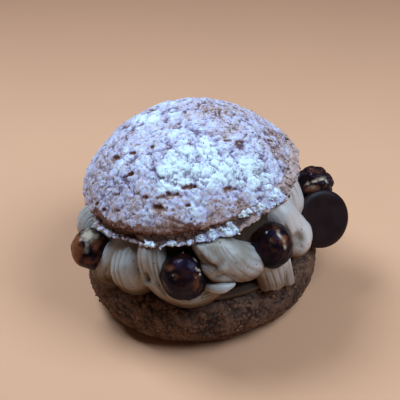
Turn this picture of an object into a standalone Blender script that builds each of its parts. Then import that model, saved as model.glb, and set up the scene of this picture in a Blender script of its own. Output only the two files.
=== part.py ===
"""A filled choux bun of the paris-brest kind at its real size, in metres, +Z up.

The bun stands on its flat underside, whose centre is the origin, and its front faces -Y. From the
bottom up it is the lower half of a choux bun, praline cream piped in overlapping turns round a full
centre, and a lid baked under a craquelin disc, which leans to the left on the cream. Six caramelised
hazelnuts and one chocolate button are pressed into the cream.
"""

import math

import bmesh
import bpy
import numpy as np
from mathutils import Matrix, Vector

MM = 0.001

# The lower half of the bun.
BASE_RADIUS = 42.0 * MM
BASE_WIDEST_HEIGHT = 10.5 * MM
BASE_FOOT_RADIUS = 32.0 * MM
BASE_TOP_RADIUS = 36.5 * MM
BASE_HEIGHT = 20.5 * MM
BASE_RELIEF = 0.7 * MM
BASE_UNROUND = 0.9 * MM
BASE_UNROUND_PHASE = 0.6
FOOT_FADE = 4.0 * MM
BASE_COLUMNS = 76

# The lid, in its own frame: its underside is the plane Z = 0.
LID_CENTRE = (-2.4 * MM, 1.3 * MM, 44.3 * MM)
LID_TILT_DEGREES = (-3.7, -8.5, 0.0)
LIP_RADIUS = 38.3 * MM
LIP_THICKNESS = 1.1 * MM
LIP_WAVES = 9
LIP_WAVE_HEIGHT = 0.4 * MM
LIP_ROUGHNESS = 0.9 * MM
LIP_LUMPS = 7.0 * MM
BAND_RADIUS = 36.0 * MM
BAND_HEIGHT = 4.6 * MM
CRAQUELIN_RADIUS = 36.9 * MM
CRAQUELIN_SHIFT = -1.3 * MM
EDGE_HEIGHT = BAND_HEIGHT + 1.2 * MM
DOME_HEIGHT = 18.2 * MM
DOME_POWER = 3.0
DOME_RINGS = 18
LID_COLUMNS = 6 * DOME_RINGS
LID_RELIEF = 0.75 * MM

# The cracked plates of the craquelin.
PLATE_SIZE = 5.6 * MM
GROOVE_SHARE = 0.30
LUMP_SIZE = 14.0 * MM

# The cream.
CREAM_RADIUS = 42.4 * MM
CREAM_SHIFT = -1.6 * MM
RING_RADIUS = 25.0 * MM
CORE_RADIUS = 33.0 * MM
CORE_COLUMNS = 40
CORE_OVERLAP = (2.0 * MM, 8.0 * MM)
GAP = 0.3 * MM
TURN_SIDES = 20
THIN_TURN = 4.0 * MM
THIN_TURN_SIDES = 12
TURN_RINGS = 11
RIDGE_DEPTH = 0.07
MERGE_DISTANCE = 0.01 * MM
SHARP_DEGREES = 50

# The regular turns: azimuth, slant from top to bottom (degrees), reach, thickness and foot height (mm).
TURNS = (
    (-177, 9, 0.8, 7.2, 17.4),
    (-163, -6, -1.4, 7.0, 16.2),
    (-131, -9, 0.9, 7.4, 15.4),
    (-51, 6, -3.4, 6.8, 22.0),
    (-5, 8, -3.4, 7.2, 18.0),
    (20, -9, -1.6, 7.6, 17.4),
    (44, 11, 0.3, 7.4, 16.8),
    (67, 9, -0.3, 7.3, 17.2),
    (91, -8, 0.4, 7.6, 16.4),
    (115, 10, -0.2, 7.3, 17.6),
    (139, -9, 0.5, 7.6, 16.2),
    (162, 8, 0.2, 7.3, 17.0),
)
TURN_SWING = 100
TURN_STATIONS = 7
TURN_TAPER = 0.14

# Turns that leave the rule. Each point is azimuth (degrees), radius, height and thickness (mm).
LOOP_UNDER_FRONT_NUT = (
    (-119, 29.0, 43.0, 4.5),
    (-118, 35.5, 40.0, 5.0),
    (-115, 37.0, 33.0, 5.4),
    (-108, 37.2, 27.6, 5.4),
    (-97, 37.4, 25.3, 5.1),
    (-86, 37.4, 26.8, 4.0),
    (-78, 37.0, 29.0, 2.0),
)
LOOP_SLANTING = (
    (-89, 27.0, 47.0, 5.5),
    (-85, 33.0, 43.6, 6.2),
    (-78, 35.8, 39.6, 6.8),
    (-71, 35.8, 36.2, 7.0),
    (-65, 31.0, 33.5, 6.0),
)
TONGUE = (
    (-92, 35.0, 24.2, 3.0),
    (-80, 37.2, 23.8, 3.0),
    (-69, 37.4, 24.4, 2.7),
    (-60, 35.5, 26.0, 2.2),
)
STRAND_WIDE = (
    (-55, 28.0, 40.0, 5.0),
    (-54, 33.0, 35.0, 5.6),
    (-52, 36.0, 30.0, 5.7),
    (-51, 37.2, 25.5, 5.5),
    (-51, 37.8, 21.4, 5.0),
)
STRAND_NARROW = (
    (-45, 31.0, 39.0, 3.4),
    (-44, 36.0, 33.0, 3.4),
    (-43, 38.2, 26.5, 3.0),
    (-42, 39.8, 18.4, 2.4),
)
BULGE_BY_BUTTON = (
    (-37, 26.0, 49.0, 6.0),
    (-35, 31.0, 44.0, 6.7),
    (-32, 34.0, 37.0, 7.2),
    (-28, 36.2, 30.6, 7.2),
    (-24, 31.5, 26.8, 6.0),
)
SAGGING_BY_LEFT_NUT = (
    (-146, 26.0, 39.0, 5.0),
    (-146, 30.5, 35.0, 5.6),
    (-145, 34.6, 29.5, 6.6),
    (-145, 36.8, 23.5, 7.0),
    (-146, 34.5, 19.0, 6.6),
)
OWN_WAY = (
    LOOP_UNDER_FRONT_NUT,
    LOOP_SLANTING,
    TONGUE,
    STRAND_WIDE,
    STRAND_NARROW,
    BULGE_BY_BUTTON,
    SAGGING_BY_LEFT_NUT,
)

# The hazelnuts: centre and half sizes (mm), turn about Z (degrees). The last two are at the back.
NUTS = {
    "hazelnut_front": ((-6.7, -36.6, 33.2), (8.2, 8.0, 8.5), 10),
    "hazelnut_right": ((23.9, -28.9, 38.0), (7.3, 7.6, 8.2), 55),
    "hazelnut_side": ((42.4, 8.3, 34.2), (6.5, 6.8, 6.3), 80),
    "hazelnut_left": ((-38.5, -16.5, 29.3), (7.5, 7.4, 7.5), 20),
    "hazelnut_back_right": ((15.0, 38.5, 36.0), (7.6, 7.3, 7.7), 130),
    "hazelnut_back_left": ((-28.5, 29.0, 31.5), (7.4, 7.6, 7.8), 200),
}
NUT_SEGMENTS = 14
NUT_RINGS = 9
NUT_LUMPS = 0.35 * MM
NUT_LUMP_SIZE = 5.0 * MM
NUT_SCAR = 0.05

# The chocolate button.
BUTTON_CENTRE = (43.8 * MM, -4.5 * MM, 28.0 * MM)
BUTTON_RADIUS = 10.6 * MM
BUTTON_THICKNESS = 2.6 * MM
BUTTON_ROUNDING = 0.9 * MM
BUTTON_TURN_DEGREES = 25.0
BUTTON_RISE_DEGREES = 28.0
BUTTON_STEPS = 32


def material(name, colour, roughness):
    """A plain Principled material."""
    made = bpy.data.materials.new(name)
    made.use_nodes = True
    shader = made.node_tree.nodes["Principled BSDF"]
    shader.inputs["Base Color"].default_value = (*colour, 1.0)
    shader.inputs["Roughness"].default_value = roughness
    return made


def add_mesh(name, points, faces, look=None):
    """A mesh object from points and faces, shaded smooth."""
    mesh = bpy.data.meshes.new(name)
    mesh.from_pydata([tuple(p) for p in points], [], faces)
    mesh.shade_smooth()
    made = bpy.data.objects.new(name, mesh)
    bpy.context.scene.collection.objects.link(made)
    if look:
        mesh.materials.append(look)
    return made


def lattice_value(x, y, z, salt):
    """A fixed value from 0 to 1 for each whole-numbered lattice point."""
    mixed = (x * 374761393 + y * 668265263 + z * 1440662683 + salt * 1274126177) & 0xFFFFFFFF
    mixed = ((mixed ^ (mixed >> 13)) * 1103515245) & 0xFFFFFFFF
    mixed = ((mixed ^ (mixed >> 15)) * 668265263) & 0xFFFFFFFF
    return ((mixed ^ (mixed >> 16)) & 0xFFFFFF) / 0x1000000


def soft_noise(points, size, salt):
    """Smooth noise from -1 to 1 whose lumps are about size across."""
    scaled = points / size
    whole = np.floor(scaled).astype(np.int64)
    part = scaled - whole
    part = part * part * (3 - 2 * part)
    total = np.zeros(len(points))
    for corner in range(8):
        step = np.array([corner & 1, corner >> 1 & 1, corner >> 2])
        share = np.prod(np.where(step, part, 1 - part), axis=1)
        total += share * lattice_value(*(whole + step).T, salt)
    return 2 * total - 1


def plate_borders(points, size, salt):
    """0 on the borders between irregular plates, up to about 1 inside them."""
    scaled = points / size
    whole = np.floor(scaled).astype(np.int64)
    nearest = np.full(len(points), 9.0)
    second = np.full(len(points), 9.0)
    for shift in np.ndindex(3, 3, 3):
        cell = whole + np.array(shift) - 1
        seed = np.stack([lattice_value(*cell.T, salt + axis) for axis in range(3)], axis=1)
        distance = np.linalg.norm(cell + seed - scaled, axis=1)
        second = np.minimum(second, np.maximum(nearest, distance))
        nearest = np.minimum(nearest, distance)
    return second - nearest


def crust_relief(points, depth):
    """How far craquelin stands out: domed plates with sunken borders, over a slow swell."""
    plates = np.clip(plate_borders(points, PLATE_SIZE, 11) / GROOVE_SHARE, 0, 1)
    plates = plates * (2 - plates)
    return depth * (plates - 0.75 + 0.5 * soft_noise(points, LUMP_SIZE, 5))


def lid_matrix():
    """The lid's place and tilt."""
    tilt = [math.radians(angle) for angle in LID_TILT_DEGREES]
    turn = Matrix.Rotation(tilt[1], 4, "Y") @ Matrix.Rotation(tilt[0], 4, "X")
    return Matrix.Translation(LID_CENTRE) @ turn


def lid_underside(x, y):
    """The height of the lid's underside above a point."""
    normal = lid_matrix().to_3x3() @ Vector((0, 0, 1))
    return LID_CENTRE[2] - (normal.x * (x - LID_CENTRE[0]) + normal.y * (y - LID_CENTRE[1])) / normal.z


def quarter(start, end, bulge_out, steps):
    """Points of a quarter ellipse between two (radius, height) points, without the first."""
    (r0, z0), (r1, z1) = start, end
    angles = np.linspace(0, math.pi / 2, steps + 1)[1:]
    if bulge_out:
        return [(r0 + (r1 - r0) * math.sin(a), z0 + (z1 - z0) * (1 - math.cos(a))) for a in angles]
    return [(r0 + (r1 - r0) * (1 - math.cos(a)), z0 + (z1 - z0) * math.sin(a)) for a in angles]


def base_profile():
    """The lower bun's side from its foot to the rim of its cut top."""
    foot = (BASE_FOOT_RADIUS, 0.0)
    widest = (BASE_RADIUS, BASE_WIDEST_HEIGHT)
    rim = (BASE_TOP_RADIUS, BASE_HEIGHT)
    return [foot] + quarter(foot, widest, True, 6) + quarter(widest, rim, False, 5)


def turned(profile, columns):
    """Points and faces of a profile of (radius, height) turned about Z, with a flat cap at each end."""
    angles = np.arange(columns) * 2 * math.pi / columns
    points = [
        (radius * math.cos(a), radius * math.sin(a), height) for radius, height in profile for a in angles
    ]
    faces = [tuple(range(columns))[::-1]]
    for row in range(len(profile) - 1):
        for column in range(columns):
            after = (column + 1) % columns
            below, above = row * columns, (row + 1) * columns
            faces.append((below + column, below + after, above + after, above + column))
    top = (len(profile) - 1) * columns
    faces.append(tuple(range(top, top + columns)))
    return np.array(points), faces


def base_points(grow=0.0):
    """The lower bun, swollen by grow on every side."""
    points, faces = turned(base_profile(), BASE_COLUMNS)
    out = points.copy()
    out[:, 2] = (points[:, 2] - BASE_WIDEST_HEIGHT) * (BASE_RADIUS / BASE_HEIGHT)
    out /= np.linalg.norm(out, axis=1)[:, None]
    fade = np.clip(points[:, 2] / FOOT_FADE, 0, 1)
    azimuth = np.arctan2(points[:, 1], points[:, 0])
    unround = BASE_UNROUND * np.sin(2 * azimuth + BASE_UNROUND_PHASE)
    rise = (crust_relief(points, BASE_RELIEF) + unround) * fade + grow
    points = points + out * rise[:, None]
    points[:, 2] = np.maximum(points[:, 2], 0)
    return points, faces


def make_base(look):
    """The lower half of the bun, flat below and cut flat above."""
    points, faces = base_points()
    return add_mesh("base_bun", points, faces, look)


def hexagonal_dome(start):
    """The crust as rings of 6, 12, 18... points round its top, whose outermost ring is the lid's edge.

    A point at a share s of the radius lies DOME_HEIGHT times (1 - s to the dome's power) above the edge.
    The rings are given from the outermost in; start is the number of the outermost ring's first point.
    """
    points, faces = [], []
    first = {}
    for ring in range(DOME_RINGS, 0, -1):
        first[ring] = start + len(points)
        share = ring / DOME_RINGS
        height = EDGE_HEIGHT + DOME_HEIGHT * (1 - share**DOME_POWER)
        for angle in np.arange(6 * ring) * 2 * math.pi / (6 * ring):
            reach = CRAQUELIN_RADIUS * share
            points.append((reach * math.cos(angle), reach * math.sin(angle), height))
    first[0] = start + len(points)
    points.append((0, 0, EDGE_HEIGHT + DOME_HEIGHT))
    for ring in range(DOME_RINGS, 0, -1):
        inner_count = max(6 * (ring - 1), 1)
        for step in range(6 * ring):
            sector, place = divmod(step, ring)
            here, after = first[ring] + step, first[ring] + (step + 1) % (6 * ring)
            inner = first[ring - 1] + (sector * (ring - 1) + place) % inner_count
            faces.append((here, after, inner))
            if place < ring - 1:
                inner_after = first[ring - 1] + (sector * (ring - 1) + place + 1) % inner_count
                faces.append((after, inner_after, inner))
    return np.array(points), faces


def lid_points():
    """The lid in its own frame: lip, sunken band, craquelin edge and cracked dome."""
    profile = [
        (LIP_RADIUS - 1.6 * MM, 0.0),
        (LIP_RADIUS, 0.35 * LIP_THICKNESS),
        (LIP_RADIUS - 0.3 * MM, LIP_THICKNESS),
        (BAND_RADIUS + 0.3 * MM, 1.6 * LIP_THICKNESS),
        (BAND_RADIUS, BAND_HEIGHT - 0.4 * MM),
        (CRAQUELIN_RADIUS - 0.2 * MM, BAND_HEIGHT),
        (CRAQUELIN_RADIUS, EDGE_HEIGHT),
    ]
    side_points = (len(profile) - 1) * LID_COLUMNS
    points, faces = turned(profile, LID_COLUMNS)
    dome, dome_faces = hexagonal_dome(len(points) - LID_COLUMNS)
    points = np.vstack([points[:-LID_COLUMNS], dome])
    faces = faces[:-1] + dome_faces
    angle = np.arctan2(points[:, 1], points[:, 0])
    above = np.clip((points[:, 2] - LIP_THICKNESS) / (BAND_HEIGHT - LIP_THICKNESS), 0, 1)
    crusted = np.clip((points[:, 2] - BAND_HEIGHT) / (EDGE_HEIGHT - BAND_HEIGHT), 0, 1)
    out = points * np.array([1.0, 1.0, 0.0])
    length = np.maximum(np.linalg.norm(out, axis=1), 1e-9)[:, None]
    flare = np.clip(points[:, 2] / EDGE_HEIGHT - 0.6, 0, None) * length[:, 0]
    slope = np.stack([np.zeros(len(points)), np.zeros(len(points)), flare], axis=1)
    out = (out + slope) / np.linalg.norm(out + slope, axis=1)[:, None]
    rough_lip = LIP_ROUGHNESS * soft_noise(points, LIP_LUMPS, 3) + LIP_WAVE_HEIGHT * np.sin(LIP_WAVES * angle)
    on_side = np.arange(len(points)) < side_points
    push = crust_relief(points, LID_RELIEF) * crusted + rough_lip * (1 - above) * on_side
    points = points + out * push[:, None]
    points[:, 0] += CRAQUELIN_SHIFT * above
    points[:LID_COLUMNS, 2] = 0.0
    points[:, 2] = np.maximum(points[:, 2], 0.0)
    return points, faces


def make_lid(look):
    """The craquelin-topped lid, tilted on the cream."""
    points, faces = lid_points()
    lid = add_mesh("lid", points, faces, look)
    lid.matrix_world = lid_matrix()
    return lid


def through(points, count):
    """Evenly spaced points on the smooth curve through the given ones."""
    points = np.array(points, float)
    padded = np.vstack([2 * points[0] - points[1], points, 2 * points[-1] - points[-2]])
    at = np.linspace(0, len(points) - 1, count)
    span = np.minimum(at.astype(int), len(points) - 2)
    t = (at - span)[:, None]
    a, b, c, d = (padded[span + k] for k in range(4))
    return 0.5 * (2 * b + (c - a) * t + (2 * a - 5 * b + 4 * c - d) * t**2 + (3 * b - a - 3 * c + d) * t**3)


def regular_turn(azimuth, slant, reach, thick, foot):
    """Points of a turn that comes out under the lid, bulges, and tucks in on the base."""
    points = []
    for share in np.linspace(0, 1, TURN_STATIONS):
        angle = math.radians(azimuth + slant * (share - 0.5))
        swing = math.radians(TURN_SWING * (1 - 2 * share))
        top = lid_underside(CREAM_RADIUS * math.cos(angle), CREAM_RADIUS * math.sin(angle))
        size = thick * MM * (1 - TURN_TAPER + TURN_TAPER * math.cos(swing))
        outermost = CREAM_RADIUS + CREAM_SHIFT * math.cos(angle) + reach * MM - size
        radius = RING_RADIUS + (outermost - RING_RADIUS) * math.cos(swing)
        height = (foot * MM + top) / 2 + ((top - foot * MM) / 2 - size) * math.sin(swing)
        points.append((math.degrees(angle), radius, height, size))
    return points


def rope_points(stations, rings, sides, depth):
    """A ridged rope through stations of azimuth (degrees), radius, height and thickness (metres).

    Its rings are star shaped and face along the curve. Its frame points away from the middle of the cream.
    """
    smooth = through(stations, rings)
    angle = np.radians(smooth[:, 0])
    flat = np.stack([np.cos(angle), np.sin(angle), np.zeros(rings)], axis=1)
    centre = flat * smooth[:, 1:2] + np.array([0, 0, 1]) * smooth[:, 2:3]
    heart = flat * RING_RADIUS + np.array([0, 0, 1]) * np.mean(smooth[:, 2])
    along = np.gradient(centre, axis=0)
    along /= np.linalg.norm(along, axis=1)[:, None]
    out = centre - heart
    out -= along * np.sum(out * along, axis=1)[:, None]
    out /= np.linalg.norm(out, axis=1)[:, None]
    side = np.cross(along, out)
    turn = np.arange(sides) * 2 * math.pi / sides
    star = 1 + depth * np.cos(turn * sides / 2)
    ring = star[:, None] * np.stack([np.cos(turn), np.sin(turn)], axis=1)
    points = (
        centre[:, None]
        + smooth[:, None, 3:4] * (out[:, None] * ring[None, :, :1] + side[:, None] * ring[None, :, 1:])
    ).reshape(-1, 3)
    faces = [tuple(range(sides))[::-1], tuple(range((rings - 1) * sides, rings * sides))]
    for row in range(rings - 1):
        for column in range(sides):
            after = (column + 1) % sides
            low, high = row * sides, (row + 1) * sides
            faces.append((low + column, low + after, high + after, high + column))
    return points, faces


def in_metres(stations):
    """Stations with their lengths in metres, read from millimetres."""
    return [(azimuth, radius * MM, height * MM, thick * MM) for azimuth, radius, height, thick in stations]


def core_points():
    """The cream's full centre, from inside the base's top to above the lid's underside."""
    low = BASE_HEIGHT - CORE_OVERLAP[0]
    high = LID_CENTRE[2] + CORE_OVERLAP[1]
    return turned([(CORE_RADIUS, low), (CORE_RADIUS, high)], CORE_COLUMNS)


def apply_boolean(target, operation, others):
    """Joins or cuts target by the given objects and removes them.

    The turns cross at many shallow angles, where the exact solver leaves open edges.
    """
    group = bpy.data.collections.new("boolean")
    bpy.context.scene.collection.children.link(group)
    for other in others:
        bpy.context.scene.collection.objects.unlink(other)
        group.objects.link(other)
    modifier = target.modifiers.new(operation, "BOOLEAN")
    modifier.operation = operation
    modifier.operand_type = "COLLECTION"
    modifier.collection = group
    modifier.solver = "MANIFOLD"
    graph = bpy.context.evaluated_depsgraph_get()
    result = bpy.data.meshes.new_from_object(target.evaluated_get(graph))
    target.modifiers.clear()
    target.data = result
    for other in others:
        bpy.data.objects.remove(other)
    bpy.data.collections.remove(group)


def cutters():
    """What the cream leaves room for: lid, base, nuts and button, each with the gap round it."""
    room = bmesh.new()
    bmesh.ops.create_cube(room, size=1.0)
    block = bpy.data.meshes.new("above")
    room.to_mesh(block)
    room.free()
    size = 140 * MM
    above = bpy.data.objects.new("above", block)
    bpy.context.scene.collection.objects.link(above)
    above.matrix_world = (
        lid_matrix() @ Matrix.Translation((0, 0, size / 2 - GAP)) @ Matrix.Diagonal((size, size, size, 1))
    )
    found = [above, add_mesh("below", *base_points(GAP))]
    found += [make_nut(name + "_room", *NUTS[name], None, GAP) for name in NUTS]
    found.append(make_button("button_room", None, GAP))
    return found


def make_cream(look):
    """The piped turns and the full centre as one body, cut clear of all that touches it."""
    ways = [regular_turn(*turn) for turn in TURNS] + [in_metres(stations) for stations in OWN_WAY]
    cream = add_mesh("cream", *core_points(), look)
    turns = []
    for number, stations in enumerate(ways):
        thickest = max(thick for azimuth, radius, height, thick in stations)
        sides = THIN_TURN_SIDES if thickest < THIN_TURN else TURN_SIDES
        rope = rope_points(stations, TURN_RINGS, sides, RIDGE_DEPTH)
        turns.append(add_mesh(f"turn_{number}", *rope))
    apply_boolean(cream, "UNION", turns)
    apply_boolean(cream, "DIFFERENCE", cutters())
    clean(cream)
    cream.data.set_sharp_from_angle(angle=math.radians(SHARP_DEGREES))
    return cream


def clean(made):
    """Merges points that almost touch, then keeps only the largest piece.

    What goes are loose scraps, and the walls of closed hollows, which so become solid. A piece ends where
    more than two faces meet in an edge.
    """
    mesh = bmesh.new()
    mesh.from_mesh(made.data)
    bmesh.ops.triangulate(mesh, faces=mesh.faces)
    bmesh.ops.remove_doubles(mesh, verts=mesh.verts, dist=MERGE_DISTANCE)
    bmesh.ops.dissolve_degenerate(mesh, edges=mesh.edges, dist=MERGE_DISTANCE)
    left = set(mesh.faces)
    pieces = []
    while left:
        start = left.pop()
        piece = {start}
        front = [start]
        while front:
            face = front.pop()
            pairs = [edge.link_faces for edge in face.edges if len(edge.link_faces) == 2]
            near = {other for pair in pairs for other in pair} & left
            left -= near
            piece |= near
            front.extend(near)
        pieces.append(piece)
    biggest = max(pieces, key=len)
    bmesh.ops.delete(mesh, geom=[face for face in mesh.faces if face not in biggest], context="FACES")
    mesh.to_mesh(made.data)
    mesh.free()


def make_nut(name, centre, half_sizes, turn, look, grow=0.0):
    """A hazelnut under an uneven coat of caramel, its flatter scar turned into the cream."""
    ball = bmesh.new()
    bmesh.ops.create_uvsphere(ball, u_segments=NUT_SEGMENTS, v_segments=NUT_RINGS, radius=1.0)
    unit = np.array([v.co for v in ball.verts])
    half = np.array(half_sizes) * MM
    salt = int(abs(centre[0]) * 10)
    lumps = NUT_LUMPS * soft_noise(unit * half + salt * MM, NUT_LUMP_SIZE, salt)
    flat = 1 - NUT_SCAR * np.clip(unit[:, 0], 0, 1) ** 2
    for vertex, direction, lump, squeeze in zip(ball.verts, unit, lumps, flat):
        vertex.co = Vector(direction * (half * squeeze + lump + grow))
    mesh = bpy.data.meshes.new(name)
    ball.to_mesh(mesh)
    ball.free()
    mesh.shade_smooth()
    made = bpy.data.objects.new(name, mesh)
    made.location = [value * MM for value in centre]
    made.rotation_euler.z = math.radians(turn)
    bpy.context.scene.collection.objects.link(made)
    if look:
        mesh.materials.append(look)
    return made


def make_button(name, look, grow=0.0):
    """A round chocolate button: a turned disc with rounded edges, facing forwards and a little up."""
    half = BUTTON_THICKNESS / 2 + grow
    radius = BUTTON_RADIUS + grow
    edge = [(radius - BUTTON_ROUNDING, -half)]
    edge += quarter(edge[0], (radius, BUTTON_ROUNDING - half), True, 2)
    edge += [(radius, half - BUTTON_ROUNDING)]
    edge += quarter(edge[-1], (radius - BUTTON_ROUNDING, half), False, 2)
    points, faces = turned(edge, BUTTON_STEPS)
    made = add_mesh(name, points, faces, look)
    lean = math.radians(90 - BUTTON_RISE_DEGREES)
    made.rotation_euler = (lean, 0, math.radians(BUTTON_TURN_DEGREES))
    made.location = BUTTON_CENTRE
    return made


def main():
    for old in list(bpy.data.objects):
        bpy.data.objects.remove(old)
    crust = material("baked_choux", (0.12, 0.055, 0.030), 0.85)
    sugared = material("sugared_craquelin", (0.55, 0.47, 0.45), 0.9)
    praline = material("praline_cream", (0.52, 0.42, 0.31), 0.5)
    caramel = material("caramelised_nut", (0.045, 0.016, 0.008), 0.25)
    chocolate = material("dark_chocolate", (0.022, 0.010, 0.009), 0.4)
    bun = bpy.data.objects.new("paris_brest", None)
    bpy.context.scene.collection.objects.link(bun)
    pieces = [make_base(crust), make_cream(praline), make_lid(sugared)]
    pieces += [make_nut(name, *NUTS[name], caramel) for name in NUTS]
    pieces.append(make_button("chocolate_button", chocolate))
    for piece in pieces:
        piece.parent = bun


main()
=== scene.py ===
# %% Load the plain solids
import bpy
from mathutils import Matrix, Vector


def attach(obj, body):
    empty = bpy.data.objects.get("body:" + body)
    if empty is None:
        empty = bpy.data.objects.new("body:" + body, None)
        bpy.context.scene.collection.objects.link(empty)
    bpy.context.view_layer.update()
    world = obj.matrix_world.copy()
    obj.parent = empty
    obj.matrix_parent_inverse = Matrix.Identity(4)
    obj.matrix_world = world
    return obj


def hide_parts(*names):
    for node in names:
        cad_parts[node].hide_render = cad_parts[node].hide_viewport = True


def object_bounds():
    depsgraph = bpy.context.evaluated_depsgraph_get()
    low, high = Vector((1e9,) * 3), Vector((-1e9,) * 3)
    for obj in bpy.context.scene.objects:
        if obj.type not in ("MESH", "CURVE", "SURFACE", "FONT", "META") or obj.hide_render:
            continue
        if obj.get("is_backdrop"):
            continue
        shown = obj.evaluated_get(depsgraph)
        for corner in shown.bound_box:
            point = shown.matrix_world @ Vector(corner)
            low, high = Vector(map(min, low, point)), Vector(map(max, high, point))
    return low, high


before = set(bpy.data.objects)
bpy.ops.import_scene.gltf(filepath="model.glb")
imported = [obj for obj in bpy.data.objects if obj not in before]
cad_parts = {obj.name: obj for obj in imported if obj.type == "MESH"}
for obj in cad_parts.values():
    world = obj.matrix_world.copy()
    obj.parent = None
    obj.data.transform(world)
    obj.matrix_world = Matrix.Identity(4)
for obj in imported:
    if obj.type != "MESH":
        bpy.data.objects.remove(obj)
cad_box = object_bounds()
print("solids:", sorted(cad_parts))

# %% [markdown]
# This script dresses a cream-filled choux bun. Its plain solids are already in place, in metres, with the
# bun standing on Z = 0 and its front towards -Y. Every solid here is a stand-in for something soft, crumbly
# or sticky, so each one gets a finer piece of the same form. Those pieces are arrays of points worked out
# with numpy, because a formula on a grid gives thousands of crumbs and ridges in a few lines.

# %% Modules and units
import math

import bpy
import numpy as np
from mathutils import Matrix, Vector

MM = 0.001
TAU = 2 * math.pi
print("numpy", np.__version__)

# %% [markdown]
# Nothing baked is even. Its slow swells come from soft noise: fixed numbers on a lattice, blended smoothly
# in between. Each number is worked out from its lattice point, so the bun comes out the same on every run,
# and another salt gives another pattern.

# %% Soft noise
LOW_BITS = 0xFFFFFFFF


def lattice_value(cell, salt):
    """A fixed value from 0 to 1 for each whole-numbered lattice point, stirred from large odd numbers."""
    x, y, z = cell.T
    mixed = (x * 374761393 + y * 668265263 + z * 1440662683 + salt * 1274126177) & LOW_BITS
    mixed = ((mixed ^ (mixed >> 13)) * 1103515245) & LOW_BITS
    mixed = ((mixed ^ (mixed >> 15)) * 668265263) & LOW_BITS
    return ((mixed ^ (mixed >> 16)) & 0xFFFFFF) / 0x1000000


def soft_noise(points, size, salt):
    """Smooth noise from -1 to 1 whose lumps are about size across: lattice values blended by 3t² - 2t³."""
    scaled = points / size
    whole = np.floor(scaled).astype(np.int64)
    part = scaled - whole
    part = part * part * (3 - 2 * part)
    total = np.zeros(len(points))
    for corner in np.ndindex(2, 2, 2):
        share = np.prod(np.where(corner, part, 1 - part), axis=1)
        total += share * lattice_value(whole + corner, salt)
    return 2 * total - 1


def noises(points, *layers):
    """A sum of soft noises, each given by its strength, size (mm) and salt."""
    return sum(strength * soft_noise(points, size * MM, salt) for strength, size, salt in layers)


print("noise at the origin:", soft_noise(np.zeros((1, 3)), MM, 1)[0])

# %% [markdown]
# Cracks need something else. Each point looks for its two nearest seeds, and where the two distances are
# equal runs a border between two plates. Crumbs stuck together are balls of many sizes, and each point is as
# high as the highest ball over it.

# %% Cracks and crumbs
FAR = 9.0


def seeds_round(scaled, salt):
    """The 27 lattice cells round each point, one after the other, and how far off the seed of each lies."""
    whole = np.floor(scaled).astype(np.int64)
    for shift in np.ndindex(3, 3, 3):
        cell = whole + shift - 1
        seed = np.stack([lattice_value(cell, salt + axis) for axis in range(3)], axis=1)
        yield cell, np.linalg.norm(cell + seed - scaled, axis=1)


def plate_borders(points, size, salt):
    """0 on the borders between irregular plates, up to about 1 inside: second nearest seed less nearest."""
    nearest = second = np.full(len(points), FAR)
    for _, distance in seeds_round(points / size, salt):
        second = np.minimum(second, np.maximum(nearest, distance))
        nearest = np.minimum(nearest, distance)
    return second - nearest


def wander(points, size, amount, salt):
    """The points shifted by up to amount in each direction, with soft noise of the given size."""
    return points + amount * np.stack([soft_noise(points, size, salt + axis) for axis in range(3)], axis=1)


def crumbs(points, size, crack, salt):
    """1 on crumbs about size across, 0 in the cracks between them, which take up a share crack of the size.

    The border distance over the crack's share, kept under 1, then rounded by p(2 - p). The borders wander,
    because the points are shifted first.
    """
    shifted = wander(wander(points, 0.9 * size, 0.30 * size, salt + 7), 0.35 * size, 0.14 * size, salt + 17)
    inside = np.clip(plate_borders(shifted, size, salt) / crack, 0, 1)
    return inside * (2 - inside)


def caps(points, size, salt):
    """Round lumps stuck side by side: 0 between them, up to 1 on the largest.

    Each lattice cell holds one ball with its own place and radius, and a point is as high as the highest
    ball over it: the root of radius² - distance². The points wander first, so that no lump is quite round.
    """
    smallest, spread = 0.35, 0.5
    highest = np.zeros(len(points))
    for cell, distance in seeds_round(wander(points, 0.6 * size, 0.22 * size, salt + 7) / size, salt):
        radius = smallest + spread * lattice_value(cell, salt + 3)
        highest = np.maximum(highest, np.sqrt(np.clip(radius**2 - distance**2, 0, None)))
    return highest / (smallest + spread)


print("a border near the origin:", plate_borders(np.zeros((1, 3)), MM, 1)[0])

# %% [markdown]
# Much on the bun begins or ends softly: sugar thins out, a lip begins, a pale patch fades. A ramp is one
# such soft step, and a window is a ramp up and a ramp down.


# %% Ramps and windows
def ramp(values, low, high):
    """0 below low, 1 above high, and a smooth step between them."""
    share = np.clip((values - low) / (high - low), 0, 1)
    return share * share * (3 - 2 * share)


def window(values, start, end, soft):
    """1 for values between start and end, 0 outside, with soft edges."""
    return ramp(values, start - soft, start + soft) * (1 - ramp(values, end - soft, end + soft))


print("a quarter of the way up a ramp:", ramp(0.25, 0, 1))

# %% [markdown]
# A piece is a table of points with quads between its rows and columns. A band closes on itself, a fan of
# triangles closes a hole at an end, and marks are numbers kept at the points, such as how much sugar lies
# there, which the material reads later.


# %% From arrays to a piece
def polar(radius, azimuth, height):
    """Points by radius and azimuth about Z, and height: numbers, or tables whose rows and columns fit."""
    parts = np.broadcast_arrays(radius * np.cos(azimuth), radius * np.sin(azimuth), height)
    return np.stack(parts, axis=-1).reshape(-1, 3)


def unit(vectors):
    """The vectors, each made one long."""
    return vectors / np.maximum(np.linalg.norm(vectors, axis=1), 1e-12)[:, None]


def band_faces(numbers):
    """Quads between the rows of a table of point numbers, whose last column joins its first.

    They face outwards where the rows go up and the columns go counter-clockwise.
    """
    after = np.roll(numbers, -1, axis=1)
    return np.stack([numbers[:-1], after[:-1], after[1:], numbers[1:]], axis=-1).reshape(-1, 4)


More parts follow.
